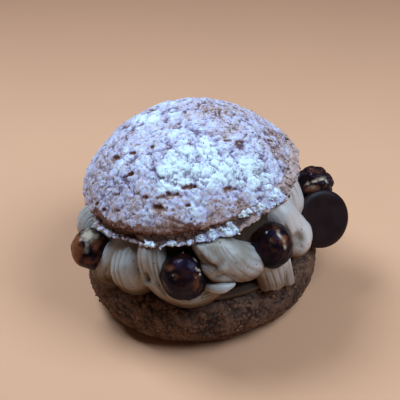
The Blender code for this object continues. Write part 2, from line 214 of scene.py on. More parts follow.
def fan_faces(ring, middle, upward):
    """Triangles between a counter-clockwise ring of point numbers and one middle point."""
    after = np.roll(ring, -1)
    centre = np.full(len(ring), middle)
    return np.stack([ring, after, centre] if upward else [after, ring, centre], axis=-1)


def closed(points, columns, low, high):
    """Rows of points closed at both ends by a point: all the points, and the sets of faces."""
    rows = np.arange(len(points)).reshape(-1, columns)
    low_fan = fan_faces(rows[0], rows.size, False)
    high_fan = fan_faces(rows[-1], rows.size + 1, True)
    return np.vstack([points, [low, high]]), [band_faces(rows), low_fan, high_fan]


def put_in_scene(name, data):
    """A new object of the scene that shows a mesh, a light or a camera."""
    made = bpy.data.objects.new(name, data)
    bpy.context.scene.collection.objects.link(made)
    return made


def add_piece(name, points, face_sets, finish, nodes=(), marks=None):
    """A smooth mesh object at the origin, riding on the bun, with its finish.

    Its marks may leave out the last points, where they are 0.
    """
    mesh = bpy.data.meshes.new(name)
    mesh.from_pydata(points.tolist(), [], [face for faces in face_sets for face in faces.tolist()])
    for mark, values in (marks or {}).items():
        padded = np.zeros(len(points), np.float32)
        padded[:len(values)] = values
        mesh.attributes.new(mark, "FLOAT", "POINT").data.foreach_set("value", padded)
    mesh.shade_smooth()
    mesh.materials.append(finish)
    piece = put_in_scene(name, mesh)
    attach(piece, "root")
    if nodes:
        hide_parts(*nodes)
    triangles = sum(len(faces) * (faces.shape[1] - 2) for faces in face_sets)
    print(f"{name}: {len(points)} points, {triangles} triangles")


# %% [markdown]
# A material is maths on colours and numbers. Wiring nodes by hand hides that maths, so a small class wraps
# an output of a node: adding, subtracting or multiplying two of them adds the Math node that does it.


# %% Materials as maths
class Wire:
    """One output in a material. Arithmetic on it adds Math nodes; colours are blended by Finish.layers."""

    def __init__(self, finish, socket):
        self.finish = finish
        self.socket = socket

    def maths(self, operation, first, second):
        """A Math node on two numbers, each a wire or a plain one."""
        return self.finish.node("ShaderNodeMath", {"operation": operation}, {0: first, 1: second})

    def __add__(self, other):
        return self.maths("ADD", self, other)

    def __sub__(self, other):
        return self.maths("SUBTRACT", self, other)

    def __rsub__(self, other):
        return self.maths("SUBTRACT", other, self)

    def __mul__(self, other):
        return self.maths("MULTIPLY", self, other)

    __radd__ = __add__
    __rmul__ = __mul__

    def step(self, low, high):
        """0 below low, 1 above high, and a smooth step between them. With low above high it falls."""
        values = {"Value": self, "From Min": low, "From Max": high}
        return self.finish.node("ShaderNodeMapRange", {"interpolation_type": "SMOOTHSTEP"}, values)


print("operators of a wire:", Wire.__add__.__name__, Wire.__sub__.__name__, Wire.__mul__.__name__)

# %% [markdown]
# Every finish is built round one Principled shader. One method makes all its nodes from their type, their
# settings and the values of their sockets, and short ones name those that are used most: noise, a mark of
# the mesh, coats of colour, a bump. Object coordinates keep the patterns at their true size.


# %% A finish
class Finish:
    """A procedural material on Object coordinates, built round one Principled shader."""

    def __init__(self, name, **constants):
        self.material = bpy.data.materials.new(name)
        self.material.use_nodes = True
        self.tree = self.material.node_tree
        self.shader = self.tree.nodes["Principled BSDF"]
        for socket, value in constants.items():
            self.shader.inputs[socket.replace("_", " ")].default_value = value
        self.place = self.node("ShaderNodeTexCoord", {}, {}, "Object")

    def node(self, kind, settings, values, output=0):
        """Adds a node with its settings, then its socket values or links, and gives one of its outputs."""
        made = self.tree.nodes.new(kind)
        for name, value in settings.items():
            setattr(made, name, value)
        for key, value in values.items():
            if isinstance(value, Wire):
                self.tree.links.new(value.socket, made.inputs[key])
            else:
                made.inputs[key].default_value = value
        return Wire(self, made.outputs[output])

    def noise(self, size, detail=2.0, roughness=0.5):
        """Soft noise from 0 to 1 with spots about size across."""
        values = {"Vector": self.place, "Scale": 1 / size, "Detail": detail, "Roughness": roughness}
        return self.node("ShaderNodeTexNoise", {}, values)

    def cells(self, size):
        """The distance to the nearest of scattered seeds, as a share of their spacing size."""
        return self.node("ShaderNodeTexVoronoi", {}, {"Vector": self.place, "Scale": 1 / size})

    def place_along(self, axis):
        """One of the Object coordinates."""
        return self.node("ShaderNodeSeparateXYZ", {}, {"Vector": self.place}, axis)

    def mark(self, name):
        """A number kept at the mesh's points."""
        return self.node("ShaderNodeAttribute", {"attribute_name": name}, {}, "Fac")

    def layers(self, colour, *coats, blend="MIX"):
        """A colour under coats. Each coat is how far it covers, from 0 to 1, and its colour."""
        for cover, coat in coats:
            settings = {"data_type": "RGBA", "blend_type": blend}
            colour = self.node("ShaderNodeMix", settings, {0: cover, 6: colour, 7: coat}, 2)
        return colour

    def bumps(self, height, distance):
        """A Bump node on a height from 0 to 1, distance metres high."""
        return self.node("ShaderNodeBump", {}, {"Distance": distance, "Height": height})

    def feed(self, **wires):
        """Links what varies to the shader's sockets, and gives the material."""
        for socket, wire in wires.items():
            self.tree.links.new(wire.socket, self.shader.inputs[socket.replace("_", " ")])
        return self.material


def paint(red, green, blue):
    """A colour as it looks on a screen, 0 to 255, turned into the linear values that Blender uses."""
    shares = [value / 255 for value in (red, green, blue)]
    return tuple(v / 12.92 if v <= 0.04 else ((v + 0.055) / 1.055) ** 2.4 for v in shares) + (1.0,)


print("a mid grey is", [round(value, 3) for value in paint(128, 128, 128)])

# %% [markdown]
# The camera stands in front of the bun and looks down on it at 39 degrees, with a long lens and the slight
# tilt of a hand-held picture. A camera at rest looks straight down, so one turn about X and one about its
# own axis aim it, and no constraint is needed. The same axes say where a mark lies "as seen from the front".

# %% Camera
CAMERA_HEIGHT_DEGREES = 39.0
CAMERA_ROLL_DEGREES = -2.6
CAMERA_DISTANCE = 431.4 * MM
CAMERA_TARGET = np.array([0.2, 0.0, 35.7]) * MM
LENS = 108.0
SENSOR = 36.0


def rotation(degrees, axis):
    """A rotation matrix about one of the axes."""
    return Matrix.Rotation(math.radians(degrees), 3, axis)


CAMERA_AXES = rotation(90 - CAMERA_HEIGHT_DEGREES, "X") @ rotation(CAMERA_ROLL_DEGREES, "Z")


def add_camera():
    """A camera on the target's line of sight."""
    data = bpy.data.cameras.new("camera")
    data.lens = LENS
    data.sensor_width = SENSOR
    data.sensor_fit = "HORIZONTAL"
    made = put_in_scene("camera", data)
    backward = np.array(CAMERA_AXES)[:, 2]
    made.matrix_world = Matrix.Translation(CAMERA_TARGET + backward * CAMERA_DISTANCE) @ CAMERA_AXES.to_4x4()
    bpy.context.scene.camera = made
    return made


print("camera at", [round(value, 3) for value in add_camera().matrix_world.translation])

# %% [markdown]
# The bun stands in soft daylight: two wide cool windows overhead, one to the left and behind, one to the
# right, and a weak warm glow all round. Area lights give the soft edges of a window. The floor is plain, with
# painted shade that darkens it towards the back. The picture is shown without a film look, so that a colour
# comes out as it was mixed.

# %% Floor and light
FLOOR_NEAR = paint(234, 173, 133)
FLOOR_CLOUD = paint(226, 167, 129)
FLOOR_PAINTED_SHADE = paint(146, 95, 66)
FLOOR_FADES = (0.02, 0.36)
FLOOR_HALF_SIZE = 1.5
FLOOR_HEIGHT = -0.2 * MM
WORLD_COLOUR = (1.0, 0.82, 0.70, 1.0)
WORLD_STRENGTH = 0.056
WINDOW_COLOUR = (0.58, 0.79, 1.0)

# Square windows: name, place (m), size of a side (m), power (W).
WINDOWS = (("left_window", (-0.26, 0.20, 0.52), 0.26, 3.7), ("right_window", (0.34, -0.12, 0.50), 0.36, 3.2))


def add_floor():
    """A plain pale floor just under the bun."""
    finish = Finish("floor", Roughness=0.9)
    # Painted shade towards the back of the floor.
    far = finish.place_along("Y").step(*FLOOR_FADES)
    colour = finish.layers(FLOOR_NEAR, (finish.noise(60 * MM), FLOOR_CLOUD), (far, FLOOR_PAINTED_SHADE))
    mesh = bpy.data.meshes.new("floor")
    corners = [(x * FLOOR_HALF_SIZE, y * FLOOR_HALF_SIZE, FLOOR_HEIGHT)
               for x, y in ((-1, -1), (1, -1), (1, 1), (-1, 1))]
    mesh.from_pydata(corners, [], [(0, 1, 2, 3)])
    mesh.materials.append(finish.feed(Base_Color=colour))
    put_in_scene("floor", mesh)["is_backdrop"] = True


def add_window(name, place, size, power):
    """A square area light that faces the bun."""
    data = bpy.data.lights.new(name, "AREA")
    data.size = size
    data.energy = power
    data.color = WINDOW_COLOUR
    light = put_in_scene(name, data)
    light.location = place
    aim = CAMERA_TARGET - np.array(place)
    light.rotation_euler = Vector(aim.tolist()).to_track_quat("-Z", "Y").to_euler()


def add_world():
    """An even warm glow from all round."""
    world = bpy.data.worlds.new("glow")
    world.use_nodes = True
    background = world.node_tree.nodes["Background"]
    background.inputs["Color"].default_value = WORLD_COLOUR
    background.inputs["Strength"].default_value = WORLD_STRENGTH
    bpy.context.scene.world = world


add_floor()
for window_light in WINDOWS:
    add_window(*window_light)
add_world()
bpy.context.scene.view_settings.view_transform = "Standard"
print("lights:", [light.name for light in bpy.data.lights])

# %% [markdown]
# The lid is a low dome that leans on the cream. All of its measures are in its own frame, whose Z = 0 is
# the lid's underside, and one matrix brings them to the bun. The crust is a disc of craquelin, a sugar and
# butter dough that was baked on top of the choux and cracked as that swelled. It ends in a rounded edge that
# stands over the brown side of the lid.

# %% The lid's own frame
LID_CENTRE = (-2.4 * MM, 1.3 * MM, 44.3 * MM)
LID_TILT_DEGREES = (-3.7, -8.5)
CRUST_RADIUS = 36.9 * MM
CRUST_SHIFT = -1.3 * MM
CRUST_EDGE_HEIGHT = 5.8 * MM
DOME_HEIGHT = 18.2 * MM

LID_AXES = np.array(rotation(LID_TILT_DEGREES[1], "Y") @ rotation(LID_TILT_DEGREES[0], "X"))


def on_the_bun(points):
    """Points from the lid's own frame, brought to the bun's."""
    return points @ LID_AXES.T + LID_CENTRE


def lid_underside(x, y):
    """The height of the lid's underside above a point: its plane, solved for z."""
    normal = LID_AXES[:, 2]
    return LID_CENTRE[2] - (normal[0] * (x - LID_CENTRE[0]) + normal[1] * (y - LID_CENTRE[1])) / normal[2]


print("underside at its centre:", round(lid_underside(LID_CENTRE[0], LID_CENTRE[1]) / MM, 1), "mm")

# %% [markdown]
# Near the front the dough tore into a few deep slits, and small pits are strewn over the rest. The eye finds
# these first, so they aren't left to noise: each is a listed oval, with a frayed edge.

# %% Slits and pits
# Slits and pits: x, y, length and width (mm) in the lid's frame, turn (degrees), depth (mm).
SLITS = (
    (-3.7, -29.4, 8.6, 2, -6, 1.1), (2.9, -28, 6.6, 1.6, 0, 1), (-8.4, -31.3, 6.4, 1.8, -17, 1),
    (16.1, -27.5, 6, 1.5, 14, 1.1), (18.3, -30.4, 3, 1.1, 16, 0.5), (2.4, -32.4, 3, 0.8, 0, 0.8),
    (-3.2, -32.8, 1.4, 0.7, -8, 0.6), (-1.6, -34.6, 0.9, 0.6, 0, 0.6), (2.2, -35.3, 0.9, 0.6, 0, 0.6),
    (-12.1, -27.5, 2.6, 1, -20, 0.8), (-16.7, -29.7, 1.7, 0.6, -25, 0.6),
    (-22.2, -26, 2.2, 0.6, -31, 0.6), (-28.1, -21.6, 2.9, 0.8, -39, 0.8),
    (-30.6, -17.7, 2.4, 1.3, -44, 0.8), (-22, -21.7, 2.6, 1.1, -30, 0.5),
    (-16.5, -18.9, 2.9, 1.8, -28, 1), (-18.1, -14.5, 1.8, 1.5, -30, 0.5),
    (-15.3, -10.8, 2.6, 1.6, -31, 0.8), (-13.6, -7.6, 3, 0.9, -31, 0.4), (-22.3, -7.9, 4, 1.8, -41, 0.9),
    (-7.9, -11.4, 1.6, 2.2, -20, 0.8), (-9.1, 15.2, 3.6, 1.6, -45, 0.6), (-18, 10.5, 1, 1.8, 0, 0.6),
    (3.5, 7.5, 2, 2.6, 0, 0.8), (8.4, 11.8, 1.5, 2.4, 0, 0.7), (10.5, 6, 1.7, 2.4, 0, 0.5),
    (12.6, 12.8, 2.1, 2.6, 0, 0.5), (17.4, -11.5, 3.2, 1.4, 14, 0.8), (21.1, -10.8, 3, 1.4, 20, 0.7),
    (27.5, 7.9, 1.6, 1.4, 60, 0.7), (31, -3.7, 3.2, 1.6, 45, 0.9), (34.7, -7.2, 2.4, 1.4, 50, 0.7),
    (28.5, -23.4, 3.4, 0.6, 52, 0.9), (25.1, -27, 4, 0.6, 45, 0.9), (14, 24, 3.6, 1.4, 20, 0.9),
    (-6, 27, 4.2, 1.4, -30, 0.9), (-24, 17, 3, 1.6, 60, 0.9), (26, 20, 3.4, 1.4, -40, 0.9),
    (3, 31.5, 4.6, 1.2, 5, 0.9),
)
SLIT_FLOOR_RISE = 0.35
SLIT_FULL_DEPTH = 0.7 * MM


def in_oval(right, up, length, width, turn):
    """Places along and across a turned oval, as shares of its half length and half width."""
    cosine, sine = math.cos(math.radians(turn)), math.sin(math.radians(turn))
    return (right * cosine + up * sine) / length, (up * cosine - right * sine) / width


def slit_depths(points):
    """How deep the slits cut at each point, in metres, the same as a share from 0 to 1, and their painted
    shadow.

    A slit is an oval: its edge is where the point's distance, measured in half lengths and half widths and
    frayed by noise, passes 1. Its floor falls from the lower border to the upper, where the crust overhangs.
    """
    depth, shadow = np.zeros((2, len(points)))
    frayed = noises(points, (0.5, 1.0, 91), (0.25, 2.2, 92))
    for x, y, length, width, turn, deep in SLITS:
        right, up = points[:, 0] / MM - x, points[:, 1] / MM - y
        along, across = in_oval(right, up, length / 2, width / 2, turn)
        inside = deep * ramp(1.15 - np.hypot(along, across) + frayed, 0.0, 0.7)
        fall = SLIT_FLOOR_RISE + (1 - SLIT_FLOOR_RISE) * ramp(across, -1.1, 0.7)
        depth = np.maximum(depth, MM * inside * fall)
        shadow = np.maximum(shadow, inside * ramp(across, -0.3, 0.6))
    return depth, np.clip(depth / SLIT_FULL_DEPTH, 0, 1), np.clip(shadow, 0, 1)


print("slits:", len(SLITS))

# %% [markdown]
# A crust like this is rough at several sizes at once: plates of five or six millimetres, pieces half as big
# inside them, and lumps of crumb from five millimetres down to one. Slow noise makes the cracks open in some
# places and close in others.

# %% How the crust cracks
SWELL_SIZE = 14.0 * MM
SWELL_DEPTH = 0.375 * MM
PLATE_SIZE = 5.6 * MM
PLATE_DEPTH = 0.55 * MM
PIECE_SIZE = 2.9 * MM
PIECE_DEPTH = 0.32 * MM

# Lumps of crumb stuck together: size, depth (both mm), height share from which their tops are flat, and salt.
CRUST_CAPS = (
    (4.8, 0.46, 0.7, 67), (2.6, 0.3, 0.55, 75), (1.3, 0.14, 0.8, 83),
)


def crust_relief(points, strength):
    """How far the crust stands out at each point, and how deep in a crack it lies, from 0 to 1."""
    plates = crumbs(points, PLATE_SIZE, 0.14, 11)
    pieces = crumbs(points, PIECE_SIZE, 0.22, 31)
    opened = ramp(noises(points, (1, 7, 61), (0.5, 3, 65)), -0.3, 0.6)
    parted = ramp(noises(points, (1, 4, 62), (0.5, 2, 66)), -0.4, 0.6)
    height = PLATE_DEPTH * opened * (plates - 0.85) + PIECE_DEPTH * parted * (pieces - 0.8)
    crack = 0.65 * opened * (1 - plates) + 0.45 * parted * (1 - pieces)
    for size, depth, flat_from, salt in CRUST_CAPS:
        tops = ramp(caps(points, size * MM, salt), 0.0, flat_from)
        height += depth * MM * (tops - 0.6)
        crack += 0.3 * (1 - ramp(tops, 0.0, 0.6))
    return SWELL_DEPTH * soft_noise(points, SWELL_SIZE, 5) + strength * height, np.clip(crack, 0, 1)


print("sizes of crumb:", [size for size, *_ in CRUST_CAPS], "mm")

# %% [markdown]
# Icing sugar was shaken over the lid by hand, so it lies thick in some places and has missed others. Where
# it is thick it is nearly white; where it is thin the brown crust greys it. Patches are round spots of more
# or less sugar, and noise frays them. The amount is kept as a mark at each point of the mesh.

# %% Where the sugar lies
SUGAR_EVEN = 0.57

# Patches: x, y, radius (mm) in the lid's frame, change of the amount.
SUGAR_PATCHES = (
    (-10, 8, 5, 0.4), (11, -15.5, 4.5, 0.32), (2.5, -20, 5.5, 0.32), (14, -20.5, 5.5, 0.14),
    (10.5, -26.5, 4.5, 0.24), (25, -20.5, 5, 0.26), (-3, -24.5, 5, 0.18), (3.5, -34.5, 3.5, 0.16),
    (-14, -3, 7, 0.08), (27, -10.5, 5, 0.1), (14, 3, 6, -0.16), (19, -5, 4.5, -0.14), (10, 12, 5, -0.2),
    (33, 5, 7, -0.2), (35, -8, 4.5, -0.28), (-25, -5, 5, -0.1), (-23, -20, 7, 0.06),
    (-3, -25, 4.5, 0.12), (22, -20, 6, 0.16), (17, -25.5, 4.5, 0.22), (7, -8, 6, 0.16),
    (2, -32.5, 5, 0.14), (-12, -33.5, 4, 0.08), (-12, -29, 4, -0.06), (-33, -11, 5, -0.18),
    (12.5, -31.5, 4.5, -0.22), (-2.5, -30.5, 3.5, -0.08), (-14.5, -27, 4, -0.08),
    (18.5, -30.5, 4, -0.26), (-20, 22, 9, -0.12), (8, 30, 7, 0.14), (17, 15, 9, -0.12),
    (-22.5, -15, 4, 0.12), (0.5, -24.3, 4.5, 0.05), (18, -1, 4.5, 0.13), (3.8, -4, 5, 0.12),
    (16, -5, 5, -0.14), (-13, -5, 4, -0.1), (-5, -36, 3.5, -0.32), (12.5, -33.5, 3.5, -0.16),
    (-28, -8, 6, -0.06), (17, -27.3, 4, 0.2), (25.7, -20.7, 4, 0.18), (2.6, -24.8, 3.5, 0.12),
    (-5.4, -23.4, 4, 0.14), (-23.5, -24, 4.5, -0.1), (-18.5, -28.5, 4, -0.14), (20.7, -29, 3, -0.14),
    (-8, -36.2, 3, -0.2), (9.3, -31.6, 2.5, -0.13), (0.3, -36, 3.5, -0.16), (-4, 22, 7, 0.1),
)


def sugar_amount(points):
    """The sugar at each point, about 0 to 1: an even dusting, the patches' bells, and noise."""
    amount = SUGAR_EVEN + noises(points, (0.13, 4, 71), (0.10, 1.6, 72))
    for x, y, radius, change in SUGAR_PATCHES:
        away = np.hypot(points[:, 0] / MM - x, points[:, 1] / MM - y) / radius
        amount += change * np.exp(-(away**2))
    return amount


print("patches:", len(SUGAR_PATCHES))

# %% [markdown]
# A dome made of rings has slivers at its centre and coarse faces at its rim. A square grid bent into a disc
# keeps every cell nearly the same size, which suits crumbs. The grid's border then carries on down as rows
# round the edge of the crust, and one point closes it below, inside the lid.

# %% The crust's surface
CRUST_CELLS = 280
EDGE_ROUNDING = 1.0 * MM
EDGE_END_DEGREES = 168
EDGE_SMOOTH_FROM_DEGREES = 140
EDGE_ROWS = 11
CRUST_INNER_RADIUS = 31.0 * MM
CRUST_FLOOR = 4.9 * MM


def disc_grid(cells):
    """A unit disc as a bent square grid: its points, its faces, and the numbers of its border's points.

    A grid point (a, b) goes to the radius given by the larger of a and b, at the angle 45° times b/a, or
    90° less 45° times a/b where b is the larger.
    """
    spread = np.linspace(-1, 1, cells + 1)
    a, b = np.meshgrid(spread, spread, indexing="ij")
    wide = np.abs(a) >= np.abs(b)
    radius = np.where(wide, a, b)
    divisor = np.where(radius == 0, 1, radius)
    angle = np.where(wide, b / divisor, 2 - a / divisor) * math.pi / 4
    number = np.arange((cells + 1) ** 2).reshape(cells + 1, cells + 1)
    border = np.concatenate([number[-1, :-1], number[:0:-1, -1], number[0, :0:-1], number[:-1, 0]])
    corners = [number[:-1, :-1], number[1:, :-1], number[1:, 1:], number[:-1, 1:]]
    return polar(radius, angle, 0.0)[:, :2], np.stack(corners, axis=-1).reshape(-1, 4), border


def crust_surface():
    """The crust before it cracks, in the lid's frame: points, outward directions, faces, fade of the relief.

    The dome's height at a share s of the radius is its edge's height + DOME_HEIGHT (1 - s³). From there
    the edge follows a quarter circle and more, out, down and under.
    """
    flat, top_faces, border = disc_grid(CRUST_CELLS)
    share = np.hypot(*flat.T)
    steep = 3 * DOME_HEIGHT / CRUST_RADIUS
    top = np.column_stack([flat * CRUST_RADIUS, CRUST_EDGE_HEIGHT + DOME_HEIGHT * (1 - share**3)])
    top_facing = unit(np.column_stack([flat * (steep * share)[:, None], np.ones(len(flat))]))
    start = math.atan(steep)
    lean = np.linspace(math.radians(EDGE_END_DEGREES), start, EDGE_ROWS + 1)[:-1, None]
    azimuth = np.arctan2(flat[border, 1], flat[border, 0])
    reach = CRUST_RADIUS + EDGE_ROUNDING * (np.sin(lean) - math.sin(start))
    height = CRUST_EDGE_HEIGHT + EDGE_ROUNDING * (np.cos(lean) - math.cos(start))
    inner = polar(CRUST_INNER_RADIUS, azimuth, CRUST_FLOOR)
    down = np.tile([0.0, 0.0, -1.0], (len(inner), 1))
    points = np.vstack([top, inner, polar(reach, azimuth, height), [[0, 0, CRUST_FLOOR]]])
    facing = np.vstack([top_facing, down, polar(np.sin(lean), azimuth, np.cos(lean)), down[:1]])
    edge_fade = ramp(-np.degrees(lean[:, 0]), -EDGE_END_DEGREES, -EDGE_SMOOTH_FROM_DEGREES)
    fade = np.concatenate([np.ones(len(top)), 0 * azimuth, np.repeat(edge_fade, len(border)), [0.0]])
    rows = len(top) + np.arange((EDGE_ROWS + 1) * len(border)).reshape(EDGE_ROWS + 1, -1)
    faces = [top_faces, band_faces(np.vstack([rows, border])), fan_faces(rows[0], len(points) - 1, False)]
    return points, facing, faces, fade


print("dome from", CRUST_EDGE_HEIGHT / MM, "to", (CRUST_EDGE_HEIGHT + DOME_HEIGHT) / MM, "mm")

# %% [markdown]
# The crust's colour follows three things: the sugar mark, the crack mark and fine speckle. Sugar settles
# on what faces up and leaves the cracks, so the crack is taken from the sugar before the colours are mixed
# from bare brown over greyed, thinly dusted crust to thick white. The crack mark also holds the slits'
# painted shadow, and where sugar lies the cracks and slits are multiplied by a painted shade.

# %% The craquelin's finish
WHITE = (1.0, 1.0, 1.0, 1.0)
SUGAR_THICK = paint(236, 247, 252)
SUGAR_THIN = paint(200, 194, 224)
SUGAR_SCANT = paint(200, 178, 181)
CRUST_TAN = paint(184, 154, 146)
CRUST_BROWN = paint(144, 106, 94)
CRUST_DARK = paint(112, 70, 56)
CRACK_SHADE = paint(138, 112, 124)


def craquelin_finish():
    """Baked sugar dough under icing sugar."""
    finish = Finish("sugared_craquelin", Roughness=0.88, Specular_IOR_Level=0.25)
    speckle = finish.noise(0.7 * MM, 3.0, 0.6)
    flecks = finish.noise(2.6 * MM, 2.0, 0.5)
    grains = finish.noise(1.4 * MM, 2.0, 0.65)
    crack, sugar = finish.mark("crack"), finish.mark("sugar")
    cover = sugar + (speckle - 0.5) * (1.15 - sugar * 0.75) + (flecks - 0.5) * 0.4 - crack * 0.36
    scant = finish.layers(SUGAR_SCANT, ((sugar + (grains - 0.5) * 2.6).step(0.25, 0.75), SUGAR_THIN))
    dusted = finish.layers(
        CRUST_BROWN,
        ((flecks * 0.4 + speckle * 0.6).step(0.42, 0.58), CRUST_TAN),
        ((crack + (speckle - 0.5) * 0.6).step(0.3, 1.0), CRUST_DARK),
        (cover.step(0.04, 0.42), scant),
        (cover.step(0.44, 0.92), SUGAR_THICK))
    # Painted shade: the cracks and slits of sugared crust are multiplied by a darker lavender.
    shaded = (crack + (0.5 - speckle) * 0.4).step(0.25, 1.15) * cover.step(-0.05, 0.3)
    colour = finish.layers(dusted, (1.0, finish.layers(WHITE, (shaded, CRACK_SHADE))), blend="MULTIPLY")
    return finish.feed(Base_Color=colour, Normal=finish.bumps(finish.noise(0.35 * MM, 2.0, 0.6), 0.10 * MM))


craquelin = craquelin_finish()
print("finish:", craquelin.name)

# %% [markdown]
# Now the crust itself: the smooth surface, pushed out or in along its own outward directions by the cracks
# and slits, then shifted and tilted with the lid. Sugar slid off its edge, and a strip in front is bare.

# %% The crust
SUGAR_ENDS = 4.6 * MM
SUGAR_ENDS_FROM = CRUST_EDGE_HEIGHT - 0.2 * MM
BARE_BEGINS = (35.6 * MM, 36.6 * MM)
FRONT_EDGE_BEGINS = (24.0 * MM, 32.0 * MM)

# Windows of azimuth (degrees): start, end and softness.
BARE_STRIP = (-150, -76, 8)
FRONT_EDGE = (-170, -60, 20)


def make_crust():
    """The cracked dome with its edge. For the grains it gives its points, their sugar, and which are open."""
    points, facing, faces, fade = crust_surface()
    wide, degrees = np.hypot(*points.T[:2]), np.degrees(np.arctan2(points[:, 1], points[:, 0]))
    slit, slit_share, slit_shadow = slit_depths(points)
    on_top = points[:, 2] > CRUST_EDGE_HEIGHT
    frayed_wide = wide + MM * noises(points, (0.5, 3, 73), (0.3, 1.1, 74))
    bare = window(degrees, *BARE_STRIP) * ramp(frayed_wide, *BARE_BEGINS)
    front_edge = window(degrees, *FRONT_EDGE) * ramp(wide, *FRONT_EDGE_BEGINS)
    sugar = sugar_amount(points) - 0.55 * ramp(-points[:, 2], -SUGAR_ENDS_FROM, -SUGAR_ENDS) - 0.6 * bare
    height, crack = crust_relief(points, 1 - 0.35 * ramp(sugar, 0.85, 1.2) - 0.2 * front_edge)
    sugar -= 0.6 * slit_share * on_top * (1 + noises(points, (0.5, 1.2, 93)))
    # The slits' painted shadow is added to the crack mark.
    crack = np.clip(crack * (1 - 0.3 * front_edge) + 0.9 * slit_shadow * on_top + 0.45 * bare, 0, 1)
    moved = points + facing * (height * fade - slit * on_top)[:, None] + [CRUST_SHIFT, 0, 0]
    placed = on_the_bun(moved)
    marks = {"sugar": sugar, "crack": crack}
    add_piece("crust", placed, faces, craquelin, ["lid"], marks)
    return placed, sugar, on_top & (crack < 0.5)


crust_points, crust_sugar, crust_open = make_crust()
print("crust's top at", round(crust_points[:, 2].max() / MM, 1), "mm")

# %% [markdown]
# Below the crust the lid is plain choux. Its band is drawn in, brown and flaky, and it ends in a thin ragged
# lip, where the bun was cut open. In front, sugar that fell past the crust lies on the lip in clumps. The
# whole side is one profile carried round the lid: rows of radius and height, each column at its own azimuth.

# %% The side of the lid
# Drifts of sugar: start and end (degrees), lowest and highest place on the side (mm), strength.
DRIFTS = (
    (-152, -116, -1, 0.9, 0.6), (-114.5, -108.5, -1, 2, 1), (-106, -87, -1, 1.2, 0.85),
    (-88, -79, -1, 1.9, 0.85), (-82, -66.5, -1, 3.1, 0.9), (-62.5, -54, 3, 7, 0.95),
    (-54, -33, 0.8, 7, 0.8),
)
DRIFT_THICKNESS = 0.3 * MM
DRIFT_LUMPS = 0.7 * MM
LIP_WAVES = 9
LIP_WAVE_HEIGHT = 0.4 * MM
LIP_THICKNESS = 1.1 * MM
BAND_HEIGHT = 4.6 * MM
BAND_BULGE = 1.5 * MM
SIDE_COLUMNS = 900

# The profile: radius and height (mm), and the number of rows that lead there from the point before.
SIDE_PROFILE = (
    (24, 0.4, 1), (33, 0, 4), (36.7, 0, 6), (38, 0.1, 5), (38.4, 0.4, 4), (38.1, 0.8, 4), (37.5, 1.1, 4),
    (37, 1.6, 5), (36.8, 2.9, 7), (36.8, 4, 6), (36.6, 5, 5), (33, 5.4, 3), (24, 5.6, 1),
)


def filled_profile(corners):
    """A profile of radius and height with evenly spaced rows between its corners, as columns in metres."""
    radius, height, rows = np.array(corners).T
    places = np.cumsum(rows) - rows[0]
    at = np.arange(places[-1] + 1)
    return np.interp(at, places, radius) * MM, np.interp(at, places, height) * MM


def carried_round(radius, height, columns):
    """A profile's points round Z, with the outward direction and azimuth of each.

    The outward direction is the profile's slope (dr, dz) turned to (dz, -dr).
    """
    azimuth = (np.arange(columns) * TAU / columns + math.pi) % TAU - math.pi
    lean = unit(np.stack([np.gradient(height), -np.gradient(radius)], axis=1))
    points = polar(radius[:, None], azimuth, height[:, None])
    return points, polar(lean[:, :1], azimuth, lean[:, 1:]), np.tile(azimuth, len(radius))


print("side rows:", len(filled_profile(SIDE_PROFILE)[0]))

# %% [markdown]
# The lip is pushed in and out by slow waves, then frayed by finer noise, and it droops and curls a little.
# The sugar clumps stand up from its top, only in front. Three marks go to the finish: sugar, cracks, and how
# pale the choux is, because the lip's thin edge and the strip that shows on the right are hardly browned.

# %% The side's shape
# Between which radii the lip, the drifts, the slow waves and the two pale edges begin.
LIP_BEGINS = (35.6 * MM, 37.6 * MM)
DRIFTS_BEGIN = (35.9 * MM, 36.5 * MM)
WAVES_BEGIN = (30.0 * MM, 36.0 * MM)
PALE_LEFT_BEGINS = (37.4 * MM, 38.0 * MM)
PALE_RIGHT_BEGINS = (36.6 * MM, 37.4 * MM)

# Windows of height (mm) and of azimuth (degrees): start, end and softness.
BAND = (1.9, 5.0, 0.3)
BULGE = (0.8, 5.0, 0.7)
BESIDE = (-40, 60, 10)
PALE_LEFT = (-175, -113, 5)
PALE_RIGHT = (-66, -40, 4)


def sugar_drifts(points, degrees, tall):
    """How much sugar lies on the side, from 0 to 1: windows of azimuth and height with frayed borders."""
    frayed_degrees = degrees + noises(points, (1.6, 2.2, 105), (1.2, 0.9, 115))
    frayed_height = tall / MM + noises(points, (0.8, 1.8, 106), (0.6, 0.8, 116))
    drift = np.zeros(len(points))
    for start, end, low, high, strength in DRIFTS:
        inside = window(frayed_degrees, start, end, 1.0) * window(frayed_height, low, high, 0.25)
        drift = np.maximum(drift, strength * inside)
    return drift


